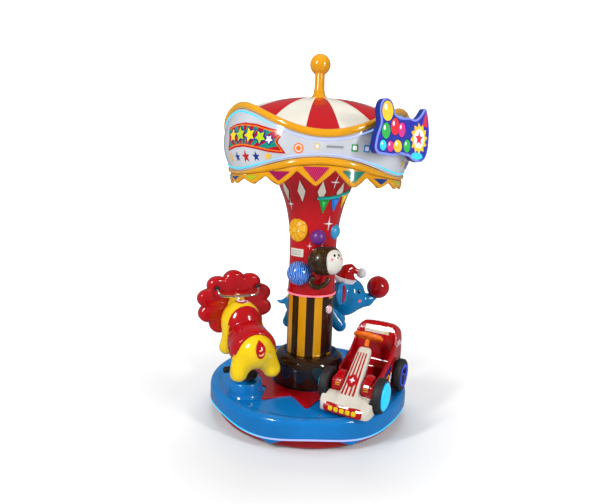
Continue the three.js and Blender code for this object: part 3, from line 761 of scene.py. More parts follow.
def deck_star():
    outline = rounded(star(10, 500, 330, 270), 34, 5)
    flat, faces = flat_fill(outline, 18)
    kept = [face for face in faces if all(clear_of_bosses(*flat[i]) for i in face)]
    points = [(x, y, 197.4) for x, y in flat] + [(x, y, 192.0) for x, y in flat]
    make("deck_star_plate", points, closed_plate(kept, len(flat)), "rotor", RED_COAT,
         replaces=["deck_star_trim"], slot="red_gelcoat")


def clear_of_bosses(x, y):
    """Whether a spot on the deck is clear of the drum and of the bosses under the animals."""
    near_boss = any(math.dist((x, y), place[:2]) <= 121 for place in (LION, ELEPHANT))
    return math.hypot(x, y) >= DRUM_R + 1 and not near_boss


def drum():
    loop = rounded([(240, 190.3), (DRUM_R, 190.3), (246, 196), (DRUM_R, 336), (241, 354), (232, 372),
                    (213, 387), (190, DRUM_TOP), (140, DRUM_TOP), (140, 390), (188, 390), (228, 369),
                    (240, 338)], 10)
    spun("drum_skin", 144, lambda a: loop, "rotor", BROWN_COAT, replaces=["drum_shell"], slot="brown_gelcoat")
    seam = [(245.6, 300), (247.2, 301), (247.2, 305), (245.6, 306)]
    spun("drum_bead", 144, lambda a: seam, "rotor", BROWN_COAT)


# ---- column ----
def striped_coat():
    """Equal upright bands of amber and dark brown round the column."""
    graph = Graph("striped_gelcoat")
    turn = graph.math("ADD", graph.turn(), 0.0014)
    return graph.banded(graph.math("FRACT", graph.math("MULTIPLY", turn, 9)), AMBER, BROWN)


def column_lower():
    foot, top = DRUM_TOP + 0.3, COLUMN_TOP - 0.3
    loop = [(153, foot), (160, foot), (161, 404), (COLUMN_R, 409), (COLUMN_R, 796), (161, 802), (160, top),
            (153, top)]
    spun("column_lower_skin", 144, lambda a: rounded(loop, 4, 3), "rotor", striped_coat(),
         replaces=["column_lower"], slot="striped_gelcoat")
    panel = plate(-52, -190, 52, 190, 12, 4)

    def surface(u, v, lift):
        return polar(COLUMN_R + lift, BUTTON_ANGLE + math.degrees(u / COLUMN_R), 602 + v)
    patch("button_panel", panel, pointwise(surface), BROWN_COAT, low=0.2, high=2.2, step=12)


def start_button():
    cap = [(0, -14), (BUTTON_R, -14), (BUTTON_R, 12), (22, 17), (17, 19.5), (0, 20)]
    collar = rounded([(26, -3), (33, -3), (33, 6), (29, 9), (26, 8)], 2, 3)
    at = facing(BUTTON_ANGLE, COLUMN_R, BUTTON_Z)
    make("start_button_cap", *moved(turned_mesh(cap, 48), at), "button", BUTTON_GLOW,
         replaces=["start_button"], slot="button_white")
    make("start_button_collar", *moved(ring_mesh(48, lambda a: collar), at), "rotor", CHROME)


COLUMN_SIDE = [(165, 822.3), (167, 828), (163, 840), (160, 990), (160, 1170), (166, 1245), (179, 1335),
               (200, 1425), (226, 1500), (262, 1572), (304, 1628)]


def column_reach(z):
    """The upper column's radius at a height."""
    for (r0, z0), (r1, z1) in zip(COLUMN_SIDE, COLUMN_SIDE[1:]):
        if z <= z1:
            return r0 + (r1 - r0) * (z - z0) / (z1 - z0)
    return COLUMN_SIDE[-1][0]


def column_rib(angle, z):
    """Soft upright folds that open out towards the ceiling, in millimetres."""
    rise = min(1.0, max(0.0, (z - 900) / 500))
    return 2.6 * rise * max(0.0, cos(9 * (angle - 270))) ** 6


def column_upper():
    path = smooth_path([(r, 0, z) for r, z in COLUMN_SIDE], 6)

    def loop(angle):
        outside = [(p.x + column_rib(angle, p.z), p.z) for p in path]
        return outside + [(p.x - 5, p.z) for p in reversed(path)]
    spun("column_upper_skin", 216, loop, "rotor", RED_COAT, replaces=["column_upper"], slot="red_gelcoat")


def column_surface(centre, height):
    """Flat coordinates on the upper column: u runs to the right as seen from outside."""
    def surface(u, v, lift):
        angle = centre + math.degrees(u / column_reach(height + v))
        return polar(column_reach(height + v) + column_rib(angle, height + v) + lift, angle, height + v)
    return pointwise(surface)


def sparkle(size):
    """A four-point star, taller than it is wide."""
    return [(u, 1.35 * v) for u, v in star(4, size, size * 0.16, 0)]


def column_stars():
    spots = ((219, 1418, 30), (303.5, 1300, 36), (299, 1566, 34), (262, 1150, 18), (20, 1400, 36),
             (52, 1250, 30), (104, 1430, 34), (150, 1300, 32), (186, 1210, 28), (82, 1010, 30),
             (170, 1020, 26), (130, 1120, 20))
    for index, (angle, z, size) in enumerate(spots):
        patch(f"column_sparkle_{index}", sparkle(size), column_surface(angle, z), WHITE_COAT, step=9)
    diamond = [(0, -66), (27, 0), (0, 66), (-27, 0)]
    for index in range(11):
        surface = column_surface(247.7 + 360 * index / 11, 1504)
        patch(f"column_diamond_edge_{index}", [(u * 1.22, v * 1.14) for u, v in diamond], surface,
              DARK_RED_COAT, low=0.2, high=1.0, step=10)
        patch(f"column_diamond_{index}", diamond, surface, CREAM_COAT, low=1.0, high=1.8, step=10)
    for index, angle in enumerate((226, 46)):
        surface = column_surface(angle, 1100)
        patch(f"column_plate_{index}", plate(-60, -26, 60, 26, 6, 4), surface, CREAM_COAT, step=10)
        for k, v in enumerate((-12, 0, 12)):
            patch(f"column_plate_line_{index}_{k}", plate(-46, v - 2, 46, v + 2, 1.5, 2), surface, GREY_COAT,
                  low=1.6, high=2.1, step=8)


def bunting():
    """A turquoise ribbon round the column with lit pennants hanging from it."""
    for run, start in enumerate((274, 94)):
        def cord_height(angle):
            return 1462 + 54 * (angle - start) / 66 - 12 * math.sin(math.pi * (angle - start) / 66)
        spots = [(start + 66 * i / 36, cord_height(start + 66 * i / 36)) for i in range(37)]
        path = [Vector(polar(column_reach(z) + 4, angle, z)) for angle, z in spots]
        make(f"bunting_ribbon_{run}", *tube_mesh(path, 10, 12), "rotor", TURQUOISE_COAT)
        for k, coats in enumerate(((GREEN_COAT, LIT_GREEN), (BLUE_COAT, LIT_BLUE), (GOLD_COAT, LIT_YELLOW))):
            angle = start + 12 + 22 * k
            surface = column_surface(angle, cord_height(angle) - 8)
            pennant = rounded([(-36, 0), (36, 0), (0, -92)], 5, 3)
            patch(f"bunting_pennant_{run}_{k}", pennant, surface, coats[0], low=1, high=5, step=9)
            core = rounded([(-15, -14), (15, -14), (0, -58)], 4, 3)
            patch(f"bunting_core_{run}_{k}", core, surface, coats[1], low=5, high=7, step=7)


def column_rings():
    foot, top = COLUMN_TOP + 0.2, COLUMN_TOP + 11.8
    loop = rounded([(150, foot), (164, foot), (169, 813), (169, 819), (164, top), (150, top)], 2.5, 3)
    spun("column_light_ring", 144, lambda a: loop, "rotor", PINK_LIGHT, replaces=["column_led_ring"],
         slot="led_pink")


def toy_dome(name, angle, z, centre, radii, coat, node, slot_name, ribs=0, rib_coat=None):
    """A ball set into the column's side. radii are its half sizes outwards, across and up."""
    outline = [(radii[1] * sin(9 * i), -radii[0] * cos(9 * i)) for i in range(21)]
    at = facing(angle, centre, z) @ Matrix.Scale(radii[2] / radii[1], 4, (1, 0, 0))
    make(name, *moved(turned_mesh(outline, 56), at), "rotor", coat, replaces=[node], slot=slot_name)
    for k in range(ribs):
        turn = Matrix.Rotation(2 * math.pi * k / ribs, 4, "Z")
        tilts = [14 + 66 * i / 14 for i in range(15)]
        path = [Vector(((radii[1] + 1) * sin(tilt), 0, (radii[0] + 1) * cos(tilt))) for tilt in tilts]
        make(f"{name}_rib_{k}", *moved(tube_mesh(path, 3.2, 8), at @ turn), "rotor", rib_coat)


def toys():
    toy_dome("toy_dome_orange", 230, 1254, 158, (40, 74, 80), DOME_LIGHT, "dome_orange", "dome_orange", 9,
             AMBER_COAT)
    toy_dome("toy_ball_blue", 240, 967, 172, (80, 80, 80), BALL_BLUE, "ball_blue", "blue_gelcoat")
    toy_dome("toy_ball_purple", 281, 1211, 162, (48, 50, 50), PURPLE_LIGHT, "ball_purple", "dome_purple")
    toy_dome("toy_ball_cyan", 330, 1246, 160, (34, 50, 50), CYAN_LIGHT, "ball_cyan", "dome_cyan")
    for name, angle, z, radius, coat in (("orange", 230, 1254, 77, AMBER_COAT),
                                         ("purple", 281, 1211, 49, PURPLE_COAT),
                                         ("cyan", 330, 1246, 49, SKY_COAT)):
        cuff = rounded([(radius - 10, -6), (radius + 2, -6), (radius + 4, 4), (radius - 2, 9),
                        (radius - 8, 5)],
                       3, 3)
        at = facing(angle, 160, z)
        make(f"toy_cuff_{name}", *moved(ring_mesh(64, lambda a: cuff), at), "rotor", coat)


def monkey():
    """A furry-brown climbing monkey that hugs the column, with a pale egg-shaped face that looks outwards."""
    x0, y0, z0 = polar(200, 289, 1061)
    skull = ellipsoid((x0, y0, z0), (98, 98, 95))
    muzzle = ellipsoid((x0 + 50, y0 - 8, z0 + 4), (82, 84, 94))
    shell = soft_cut(soft_union([skull, muzzle], 12), column_field, 3)
    part = field_mesh(shell, (x0 - 104, y0 - 104, z0 - 104), (x0 + 138, y0 + 104, z0 + 104), 4)
    make("monkey_head_skin", *part, "rotor", FUR_COAT, replaces=["monkey_head"], slot="brown_gelcoat")
    ahead = Vector((-cos(302), -sin(302), -0.12))
    surface = decal_surface(shell, (x0 + 44, y0 - 10, z0 + 2), ahead, (0, 0, 0))
    egg = [(63 * cos(12 * i), (80 - 6 * sin(12 * i)) * sin(12 * i)) for i in range(30)]
    patch("monkey_face", egg, surface, FACE_COAT, low=0.3, high=6, step=8)
    for side in (-1, 1):
        patch(f"monkey_eye_{side + 2}", shifted(disc(6, 9, 20), side * 16, 38), surface, BLACK_COAT, low=5.5,
              high=9, step=3)
        patch(f"monkey_cheek_{side + 2}", shifted(disc(9, 8, 20), side * 33, 14), surface, PINK_COAT, low=5.5,
              high=7, step=4)
    patch("monkey_nose", shifted(disc(6, 4.5, 16), 0, 22), surface, BROWN_COAT, low=5.5, high=9, step=3)


def column_field(x, y, z):
    return np.sqrt(x * x + y * y) - 160.4


def monkey_arm():
    path = smooth_path([(112, -186, 948), (92, -200, 914), (52, -212, 894), (12, -214, 896), (-8, -204, 918),
                        (8, -196, 942)], 8)
    make("monkey_arm_skin", *tube_mesh(path, lambda t: 15 + 2.5 * math.sin(math.pi * t), 20), "rotor",
         FUR_COAT, replaces=["monkey_arm"], slot="brown_gelcoat")
    paw = ellipsoid((10, -195, 944), (18, 16, 16))
    make("monkey_paw", *field_mesh(paw, (-8, -212, 926), (30, -178, 962), 3), "rotor", FUR_COAT)


# ---- canopy ----
def white_top(angle):
    return 1886 + 88 * lobe_wave(angle)


def white_bottom(angle):
    return 1656 - 41 * lobe_wave(angle)


def bulge(z):
    """The fascia leans in a little above and below its waist."""
    reach = (z - 1790) / 190
    return CANOPY_R - (45 if z > 1790 else 70) * reach * reach


def fascia_band():
    def loop(angle):
        low, high = white_bottom(angle), white_top(angle)
        side = [(bulge(low + (high - low) * k / 16), low + (high - low) * k / 16) for k in range(17)]
        return side + [(r - 5, z) for r, z in reversed(side)]
    spun("fascia_band_skin", 240, loop, "rotor", FASCIA_COAT, replaces=["fascia_band"], slot="white_gelcoat")


def bead(reach, z, half_height):
    """A fat rounded bead section centred at a height."""
    return [(reach + TRIM / 2 * cos(18 * k), z + half_height * sin(18 * k)) for k in range(20)]


def lower_width(angle):
    """The lower trim is half as high under a lobe as it is between two."""
    return TRIM * (1 - 0.5 * max(0.0, lobe_wave(angle)))


def fascia_trims():
    def upper(angle):
        z = white_top(angle) + 0.6 + TRIM / 2
        return bead(bulge(z), z, TRIM / 2)

    def lower(angle):
        width = lower_width(angle)
        z = white_bottom(angle) - 0.6 - width / 2
        return bead(bulge(z) - 2, z, width / 2)
    for name, loop in (("upper", upper), ("lower", lower)):
        spun(f"fascia_bead_{name}", 300, loop, "rotor", AMBER_COAT, replaces=[f"fascia_trim_{name}"],
             slot="amber_gelcoat")


def fascia_lights():
    def strip(centre):
        def loop(angle):
            z = centre(angle)
            reach = bulge(z)
            return [(reach + 0.8, z - 4), (reach + 4.5, z - 3.6), (reach + 6, z), (reach + 4.5, z + 3.6),
                    (reach + 0.8, z + 4)]
        return loop
    for name, centre in (("upper", lambda a: white_top(a) - 14), ("lower", lambda a: white_bottom(a) + 14)):
        spun(f"fascia_light_{name}", 300, strip(centre), "rotor", LOBE_LIGHT, replaces=[f"fascia_led_{name}"],
             slot="led_cyan")


def canopy_ceiling():
    def loop(angle):
        reach = bulge(white_bottom(angle)) - 52
        return [(305, CEILING_Z), (reach, CEILING_Z), (reach, CEILING_Z + 5), (305, CEILING_Z + 5)]
    spun("canopy_ceiling_skin", 180, loop, "rotor", CEILING_COAT, replaces=["canopy_ceiling"],
         slot="amber_gelcoat")


def canopy_roof():
    def loop(angle):
        rim_z = white_top(angle) - 8
        rim_r = bulge(rim_z) - 10
        groove = 3.5 * max(0.0, cos(18 * (angle - 273) + 180)) ** 8
        outer = []
        for t in np.linspace(0, 1, 25):
            z = APEX_Z - (APEX_Z - rim_z) * t ** DOME_POWER - groove * min(1, 4 * t)
            outer.append((58 + (rim_r - 58) * t, z))
        return outer + [(r, z - 5) for r, z in reversed(outer)]
    spun("canopy_roof_skin", 360, loop, "rotor", ROOF_COAT, replaces=["canopy_roof"], slot="red_gelcoat")


def finial():
    neck = [(0, APEX_Z + 1), (66, APEX_Z + 1), (66, 2106), (61, 2112), (52, 2117), (44, 2126), (38, 2140),
            (35, 2160), (33, 2180), (32, 2230), (32, 2262)]
    centre = FINIAL_TOP - FINIAL_R
    start = math.degrees(math.asin(32 / FINIAL_R))
    ball = [(FINIAL_R * sin(180 - start - (180 - start) * k / 18),
             centre + FINIAL_R * cos(180 - start - (180 - start) * k / 18)) for k in range(19)]
    make("finial_skin", *turned_mesh(neck + ball, 64), "rotor", AMBER_COAT, replaces=["finial"],
         slot="amber_gelcoat")


def valance_outline(angle):
    """(top, bottom) of the pennant border at an angle: a scalloped edge with rounded tips."""
    top = white_bottom(angle) - lower_width(angle) - 3
    across = ((angle - 270) * FLAGS / 360) % 1.0
    away = max(0.0, min(across, 1 - across) * 2 - 0.05)
    return top, FLAG_TIP + (top - 18 - FLAG_TIP) * min(1.0, away ** 1.1)


def valance():
    def loop(angle):
        top, bottom = valance_outline(angle)
        reach = bulge(top + TRIM / 2) - 4
        return [(reach - 18, top), (reach + 6, top), (reach + 8, (top + bottom) / 2), (reach + 7, bottom + 6),
                (reach + 1, bottom), (reach - 11, bottom), (reach - 18, bottom + 6),
                (reach - 20, (top + bottom) / 2)]
    spun("valance_border", 510, loop, "rotor", VALANCE_COAT, replaces=["valance"], slot="amber_gelcoat")
    coats = (LIT_STRIPE, LIT_TEAL, LIT_NAVY, LIT_LIME, LIT_MAGENTA)
    pitch = 360 / FLAGS
    for k in range(-(FLAGS // 2), FLAGS // 2 + 1):
        centre = 270 + pitch * k
        top, _ = valance_outline(centre)
        reach = bulge(top + TRIM / 2)
        width = math.radians(pitch) * reach

        def surface(u, v, lift, centre=centre):
            angle = centre + math.degrees(u / CANOPY_R)
            return polar(bulge(valance_outline(angle)[0] + TRIM / 2) + 3.4 + lift, angle, v)
        edge = rounded([(-width * 0.36, top - 9), (width * 0.36, top - 9), (0, FLAG_TIP + 20)], 10, 4)
        name = f"valance_pennant_{k + FLAGS // 2:02d}"
        patch(name, edge, pointwise(surface), coats[k % 5], low=0, high=3.4, step=11)


def fascia_surface(centre, height):
    def surface(u, v, lift):
        z = height + v
        return polar(bulge(z) + lift, centre + math.degrees(u / CANOPY_R), z)
    return pointwise(surface)


def fascia_stars():
    """A row of small stars on each lobe, alternating in colour and size."""
    for lobe in range(LOBES):
        surface = fascia_surface(LOBE_ANGLE + 120 * lobe + 13, 1692)
        for k, coat in enumerate((GOLD_COAT, NAVY_COAT, RED_COAT, NAVY_COAT, GOLD_COAT)):
            size = 36 if k == 2 else 29
            patch(f"fascia_star_{lobe}_{k}", shifted(star(5, size, size * 0.42), 88 * (k - 2), 0), surface,
                  coat, step=8)


def banners():
    for lobe in range(LOBES):
        banner(lobe, LOBE_ANGLE + 120 * lobe + 13)


def banner(lobe, centre):
    """A ribbon banner with fanned rays, a swallow tail and blank star shapes. It carries no words."""
    surface = fascia_surface(centre, 1792)

    def ribbon(grow):
        """The ribbon's outline, grown outwards for the borders under it."""
        top = [(-170 - grow, 58 + grow), (-90, 74 + grow), (0, 76 + grow), (100, 62 + grow), (200, 34 + grow),
               (262 + grow * 1.6, 22 + grow)]
        tail = [(226 + grow, -22)]
        bottom = [(266 + grow * 1.6, -70 - grow), (190, -62 - grow), (100, -44 - grow), (0, -28 - grow),
                  (-90, -30 - grow), (-180 - grow, -46 - grow), (-142 - grow * 1.4, 8)]
        return rounded(top + tail + bottom, 10, 3)
    patch(f"banner_{lobe}_outline", ribbon(16), surface, RED_COAT, low=0.4, high=3, step=16)
    patch(f"banner_{lobe}_edge", ribbon(7), surface, ORANGE_COAT, low=3, high=5, step=16)
    patch(f"banner_{lobe}_rays", ribbon(0), surface, BANNER_RAYS, low=5, high=7, step=12)
    row = ((-96, 22, 38, YELLOW_COAT), (-20, 25, 42, LIME_COAT), (60, 18, 42, YELLOW_COAT),
           (138, 4, 38, LIME_COAT), (196, -10, 24, WHITE_COAT))
    for k, (u, v, size, coat) in enumerate(row):
        patch(f"banner_{lobe}_backing_{k}", shifted(star(5, size + 8, size * 0.6 + 6, 90 + 9 * k), u, v),
              surface, NAVY_COAT, low=7, high=9, step=9)
        patch(f"banner_{lobe}_star_{k}", shifted(star(5, size, size * 0.5, 90 + 9 * k), u, v), surface, coat,
              low=9, high=12, step=8)


def stickers():
    """Blank round and square stickers in the valleys, without any marks."""
    for k in range(LOBES):
        valley = LOBE_ANGLE + 60 + 120 * k
        for j, (radius, coat) in enumerate(((27, ORANGE_COAT), (20, CREAM_COAT), (13, ORANGE_COAT))):
            patch(f"sticker_round_{k}_{j}", disc(radius), fascia_surface(valley - 13, 1737), coat,
                  low=0.2 + 1.4 * j, high=1.6 + 1.4 * j, step=9)
        squares = ((-3.5, 14, GOLD_COAT), (16, 19, GREEN_COAT), (23, 19, BLUE_COAT))
        for j, (shift, size, coat) in enumerate(squares):
            for ring, share in enumerate((1.0, 0.62)):
                half = size * share
                patch(f"sticker_{k}_{j}_{ring}", plate(-half, -half, half, half, 4, 3),
                      fascia_surface(valley + shift, 1750), (coat, WHITE_COAT)[ring], low=0.2 + ring,
                      high=1.4 + ring, step=8)
        patch(f"sticker_bar_{k}", plate(-47, -6, 47, 6, 3, 3), fascia_surface(valley + 5.5, 1750), GREY_COAT,
              step=6)


# ---- light box on the canopy ----
SIGN_OUTLINE = [(-262, -100), (-235, -125), (-90, -128), (-40, -112), (60, -116), (110, -140), (190, -150),
                (240, -120), (262, -60), (262, 40), (240, 118), (205, 178), (160, 122), (110, 88), (40, 96),
                (-40, 84), (-100, 96), (-112, 130), (-140, 165), (-190, 172), (-226, 145), (-236, 100),
                (-214, 40), (-250, -30)]


def sign_point(u, v, lift):
    x, y = SIGN_BACK + SIGN_THICK + lift, u
    return (x * cos(SIGN_ANGLE) - y * sin(SIGN_ANGLE), x * sin(SIGN_ANGLE) + y * cos(SIGN_ANGLE), SIGN_Z + v)


sign_surface = pointwise(sign_point)


def sign():
    outline = rounded(SIGN_OUTLINE, 26, 4)
    body = patch_mesh(outline, sign_surface, -SIGN_THICK, -7, 24)
    bracket = [moved(tube_mesh([Vector((590, y, SIGN_Z)), Vector((SIGN_BACK + 2, y, SIGN_Z))], 14, 16),
                     Matrix.Rotation(math.radians(SIGN_ANGLE), 4, "Z")) for y in (-70, 70)]
    points, faces = merged(body[:2], *bracket)
    make("sign_case", points, faces, "rotor", NAVY_COAT, replaces=["sign_board"], slot="light_box")
    inner = inset(outline, 11.7)
    patch("sign_rim", outline, sign_surface, LIT_RIM, low=-7, high=-2, step=24)
    patch("sign_face", inner, sign_surface, LIT_ROYAL, low=-2, high=-0.6, step=20)
    balloons = ((-172, 104, 50, 52, LIT_YELLOW), (-96, 30, 40, 46, LIT_RED), (-176, 0, 38, 42, LIT_GREEN),
                (-30, 20, 34, 40, LIT_PINK), (-196, -78, 30, 28, LIT_CYAN), (-60, -72, 40, 34, LIT_YELLOW),
                (30, -64, 34, 36, LIT_GREEN), (-128, -78, 30, 30, LIT_PINK))
    for k, (u, v, across, tall, coat) in enumerate(balloons):
        patch(f"sign_blob_edge_{k}", shifted(disc(across + 6, tall + 6), u, v), sign_surface, NAVY_COAT,
              low=-0.6, high=-0.3 + 0.01 * k, step=14)
        patch(f"sign_blob_{k}", shifted(disc(across, tall), u, v), sign_surface, coat, low=-0.6, high=-0.1,
              step=12)
        shine = shifted(disc(across * 0.22, tall * 0.3, 18), u - across * 0.4, v + tall * 0.35)
        patch(f"sign_blob_shine_{k}", shine, sign_surface, LIT_WHITE, low=-0.1, high=-0.05, step=7)
    rosette()


def rosette():
    """A bright ruffled rosette with a star on it, between a collar and a pointed hat."""
    ruff = [polar(78 + 14 * sin(120 * k), 10 * k, 0)[:2] for k in range(36)]
    hat = rounded([(176, 66), (232, 60), (206, 150)], 10, 4)
    for name, outline, coat, low, high, step in (
            ("ruff", shifted(ruff, 150, -12), LIT_YELLOW, -0.6, -0.25, 12),
            ("disc", shifted(disc(54), 150, -12), LIT_WHITE, -0.25, -0.12, 10),
            ("star", shifted(star(5, 44, 19), 150, -12), LIT_RED, -0.12, -0.02, 7),
            ("collar", shifted(disc(60, 20), 140, -112), LIT_CYAN, -0.6, -0.1, 10),
            ("hat", hat, LIT_RED, -0.6, -0.1, 10)):
        patch(f"rosette_{name}", outline, sign_surface, coat, low=low, high=high, step=step)


def inset(outline, gap):
    """The outline moved in towards its own inside by a gap."""
    result, count = [], len(outline)
    for i, (x, y) in enumerate(outline):
        before, after = outline[i - 1], outline[(i + 1) % count]
        dx, dy = after[0] - before[0], after[1] - before[1]
        length = math.hypot(dx, dy) or 1
        result.append((x - dy / length * gap, y + dx / length * gap))
    return result


# ---- lion ----
def lion_body_field():
    legs = [limb((-150, side * 62, 488), (-172, side * 106, 408), 76, 56) for side in (-1, 1)]
    legs += [limb((110, side * 60, 560), (132, side * 92, 470), 66, 48) for side in (-1, 1)]
    feet = [ellipsoid((-168, side * 108, 390), (58, 42, 34)) for side in (-1, 1)]
    feet += [ellipsoid((146, side * 94, 448), (50, 36, 32)) for side in (-1, 1)]
    trunk = [ellipsoid((-60, 0, 540), (200, 118, 112)), ellipsoid((-128, 0, 520), (128, 128, 118)),
             ellipsoid((120, 0, 628), (140, 132, 148))]
    head = [ellipsoid((330, 0, 735), (120, 142, 140)), ellipsoid((432, 0, 700), (64, 78, 54))]
    return soft_union(trunk + legs + feet + head, 22)


def mane_field():
    """Ten fat scalloped lobes round the neck, with a hollow that shows the centre darker."""
    def field(x, y, z):
        ry, rz = y / 262, (z - 728) / 222
        angle = np.arctan2(rz, ry)
        radius = np.sqrt(ry * ry + rz * rz)
        edge = 0.86 + 0.16 * np.abs(np.sin(5 * angle + 0.3)) ** 0.7
        across = (radius - edge) * 235
        thick = 50 - 7 * np.abs(np.cos(5 * angle + 0.3)) ** 3 * np.clip(radius * 1.3 - 0.3, 0, 1)
        bend = 30 * np.clip(radius - 0.2, 0, 1) ** 2
        away = np.abs(x - 268 + bend * 0.4) - thick
        return eased(across, away, 34)
    return field


def lion():
    body = lion_body_field()
    shape = soft_cut(body, grown(post_field(PLUNGER_TOP), 1.0), 1)
    sculpted("lion_body_skin", shape, (-260, -150, 336), (504, 150, 882), LION, "lion_ride", YELLOW_COAT, 7,
             replaces=["lion_body"], slot="yellow_gelcoat")
    ruff = soft_cut(mane_field(), grown(body, 0.8), 1)
    sculpted("lion_mane_skin", ruff, (196, -278, 486), (330, 278, 966), LION, "lion_ride", RED_COAT, 6,
             replaces=["lion_mane"], slot="red_gelcoat")
    hood = soft_union([ellipsoid((-58, 0, 540), (206, 135, 133)), ellipsoid((-124, 0, 526), (134, 146, 134)),
                       ellipsoid((114, 0, 628), (146, 142, 158))], 10)
    outline = [(-190, 840), (-190, 560), (-172, 450), (-146, 404), (-96, 410), (-24, 450), (16, 540),
               (38, 640), (38, 840)]
    drape = soft_cut(both(hood, prism(rounded(outline, 40, 5), 400, 2), 6), grown(body, 0.6), 1)
    sculpted("lion_cape_skin", drape, (-212, -150, 400), (124, 150, 796), LION, "lion_ride", RED_COAT, 5,
             replaces=["lion_cape"], slot="red_gelcoat")
    lion_trim(body, hood)
    lion_face(body)
    grip = mirrored([(206, 140, 852), (192, 142, 838), (164, 132, 812), (150, 100, 800)], (148, 0, 798))
    bent_bar("lion_handle_bar", grip, 9, LION, "lion_ride", ["lion_handle"])
    plunger("lion", LION, "lion_ride", body, 0)


def post_field(top):
    """The round post a ride stands on, up to where it ends inside the moulding."""
    def field(x, y, z):
        side = np.sqrt(x * x + y * y) - 22
        return np.maximum(side, z - top)
    return field


PLUNGER_TOP = 470


def lion_trim(body, hood):
    tuft = [(30 * cos(9 * i) * (1 - 0.75 * max(0.0, sin(9 * i)) ** 2), 56 * sin(9 * i)) for i in range(40)]
    rump = decal_surface(body, (-212, 0, 552), (1, 0, -0.25), LION)
    patch("lion_tuft", tuft, rump, RED_COAT, body="lion_ride", low=0.2, high=9, step=8)
    patch("lion_tuft_curl", shifted(disc(19), 0, -20), rump, SWIRL_WARM, body="lion_ride", low=9, high=11,
          step=6)
    neck = decal_surface(body, (124, 0, 760), (0.6, 0, -0.8), LION)
    patch("lion_emblem", disc(42), neck, SWIRL_PALE, body="lion_ride", low=0.2, high=4, step=8)
    matrix = ride_matrix(LION)
    hem = [(-172, 520), (-162, 462), (-140, 430), (-96, 434), (-34, 472), (2, 552), (24, 640)]
    for side in (-1, 1):
        hits = touches(hood, [(x, side * 260, z) for x, z in hem], (0, -side, 0))
        path = [matrix @ point for point in smooth_path(hits, 6)]
        make(f"lion_cape_piping_{side + 2}", *tube_mesh(path, 4.2, 10), "lion_ride", GOLD_COAT)
    for k, (x, z) in enumerate(((-76, 505), (-24, 604))):
        curl = [(x + (44 - 9 * turn) * cos(90 * turn), z + (44 - 9 * turn) * sin(90 * turn))
                for turn in np.linspace(0, 4, 25)]
        for side in (-1, 1):
            hits = touches(hood, [(u, side * 260, v) for u, v in curl], (0, -side, 0))
            make(f"lion_cape_curl_{k}_{side + 2}", *tube_mesh([matrix @ point for point in hits], 3.4, 10),
                 "lion_ride", RED_COAT)


def lion_face(body):
    """A friendly face on the side that looks away from the column."""
    ahead = decal_surface(body, (430, 0, 742), (-1, 0, 0), LION)
    for side in (-1, 1):
        for name, outline, coat, low, high, step in (
                ("eye_white", shifted(disc(19, 25), side * 48, 24), WHITE_COAT, 0.2, 4, 6),
                ("eye", shifted(disc(11, 15), side * 46, 20), BLACK_COAT, 4, 6.5, 5),
                ("eye_glint", shifted(disc(4, 5, 14), side * 46 + 4, 27), WHITE_COAT, 6.5, 7.5, 3),
                ("cheek", shifted(disc(16, 12), side * 84, -22), PINK_COAT, 0.2, 3, 6)):
            patch(f"lion_{name}_{side + 2}", outline, ahead, coat, "lion_ride", low, high, step)
    front = decal_surface(body, (500, 0, 706), (-1, 0, 0), LION)
    nose = rounded([(-22, 22), (22, 22), (0, -10)], 9, 4)
    patch("lion_nose", nose, front, BROWN_COAT, body="lion_ride", low=0.2, high=9, step=6)
    grin = [(30 * cos(205 + 13 * i), 24 * sin(205 + 13 * i) - 8) for i in range(11)]
    back = [(27 * cos(335 - 13 * i), 20 * sin(335 - 13 * i) - 8) for i in range(11)]
    patch("lion_grin", grin + back, front, DEEP_COAT, body="lion_ride", low=0.2, high=3, step=5)


def bent_bar(name, points, radius, place, body, replaces):
    """A bent chrome bar with a rubber socket at each end."""
    matrix = ride_matrix(place)
    path = [matrix @ point for point in smooth_path(points, 7)]
    make(name, *tube_mesh(path, radius, 20), body, CHROME, replaces=replaces, slot="chrome_bar")
    for index, end in ((0, path[0]), (1, path[-1])):
        other = path[1] if index == 0 else path[-2]
        along = (end - other).normalized()
        turn = along.to_track_quat("Z", "Y").to_matrix().to_4x4()
        cup = rounded([(radius + 0.4, -16), (radius + 9, -16), (radius + 9, -8), (radius + 5, 0),
                       (radius + 0.4, 0)], 2, 3)
        part = moved(ring_mesh(32, lambda a: cup), Matrix.Translation(end) @ turn)
        make(f"{name}_socket_{index}", *part, body, RUBBER)


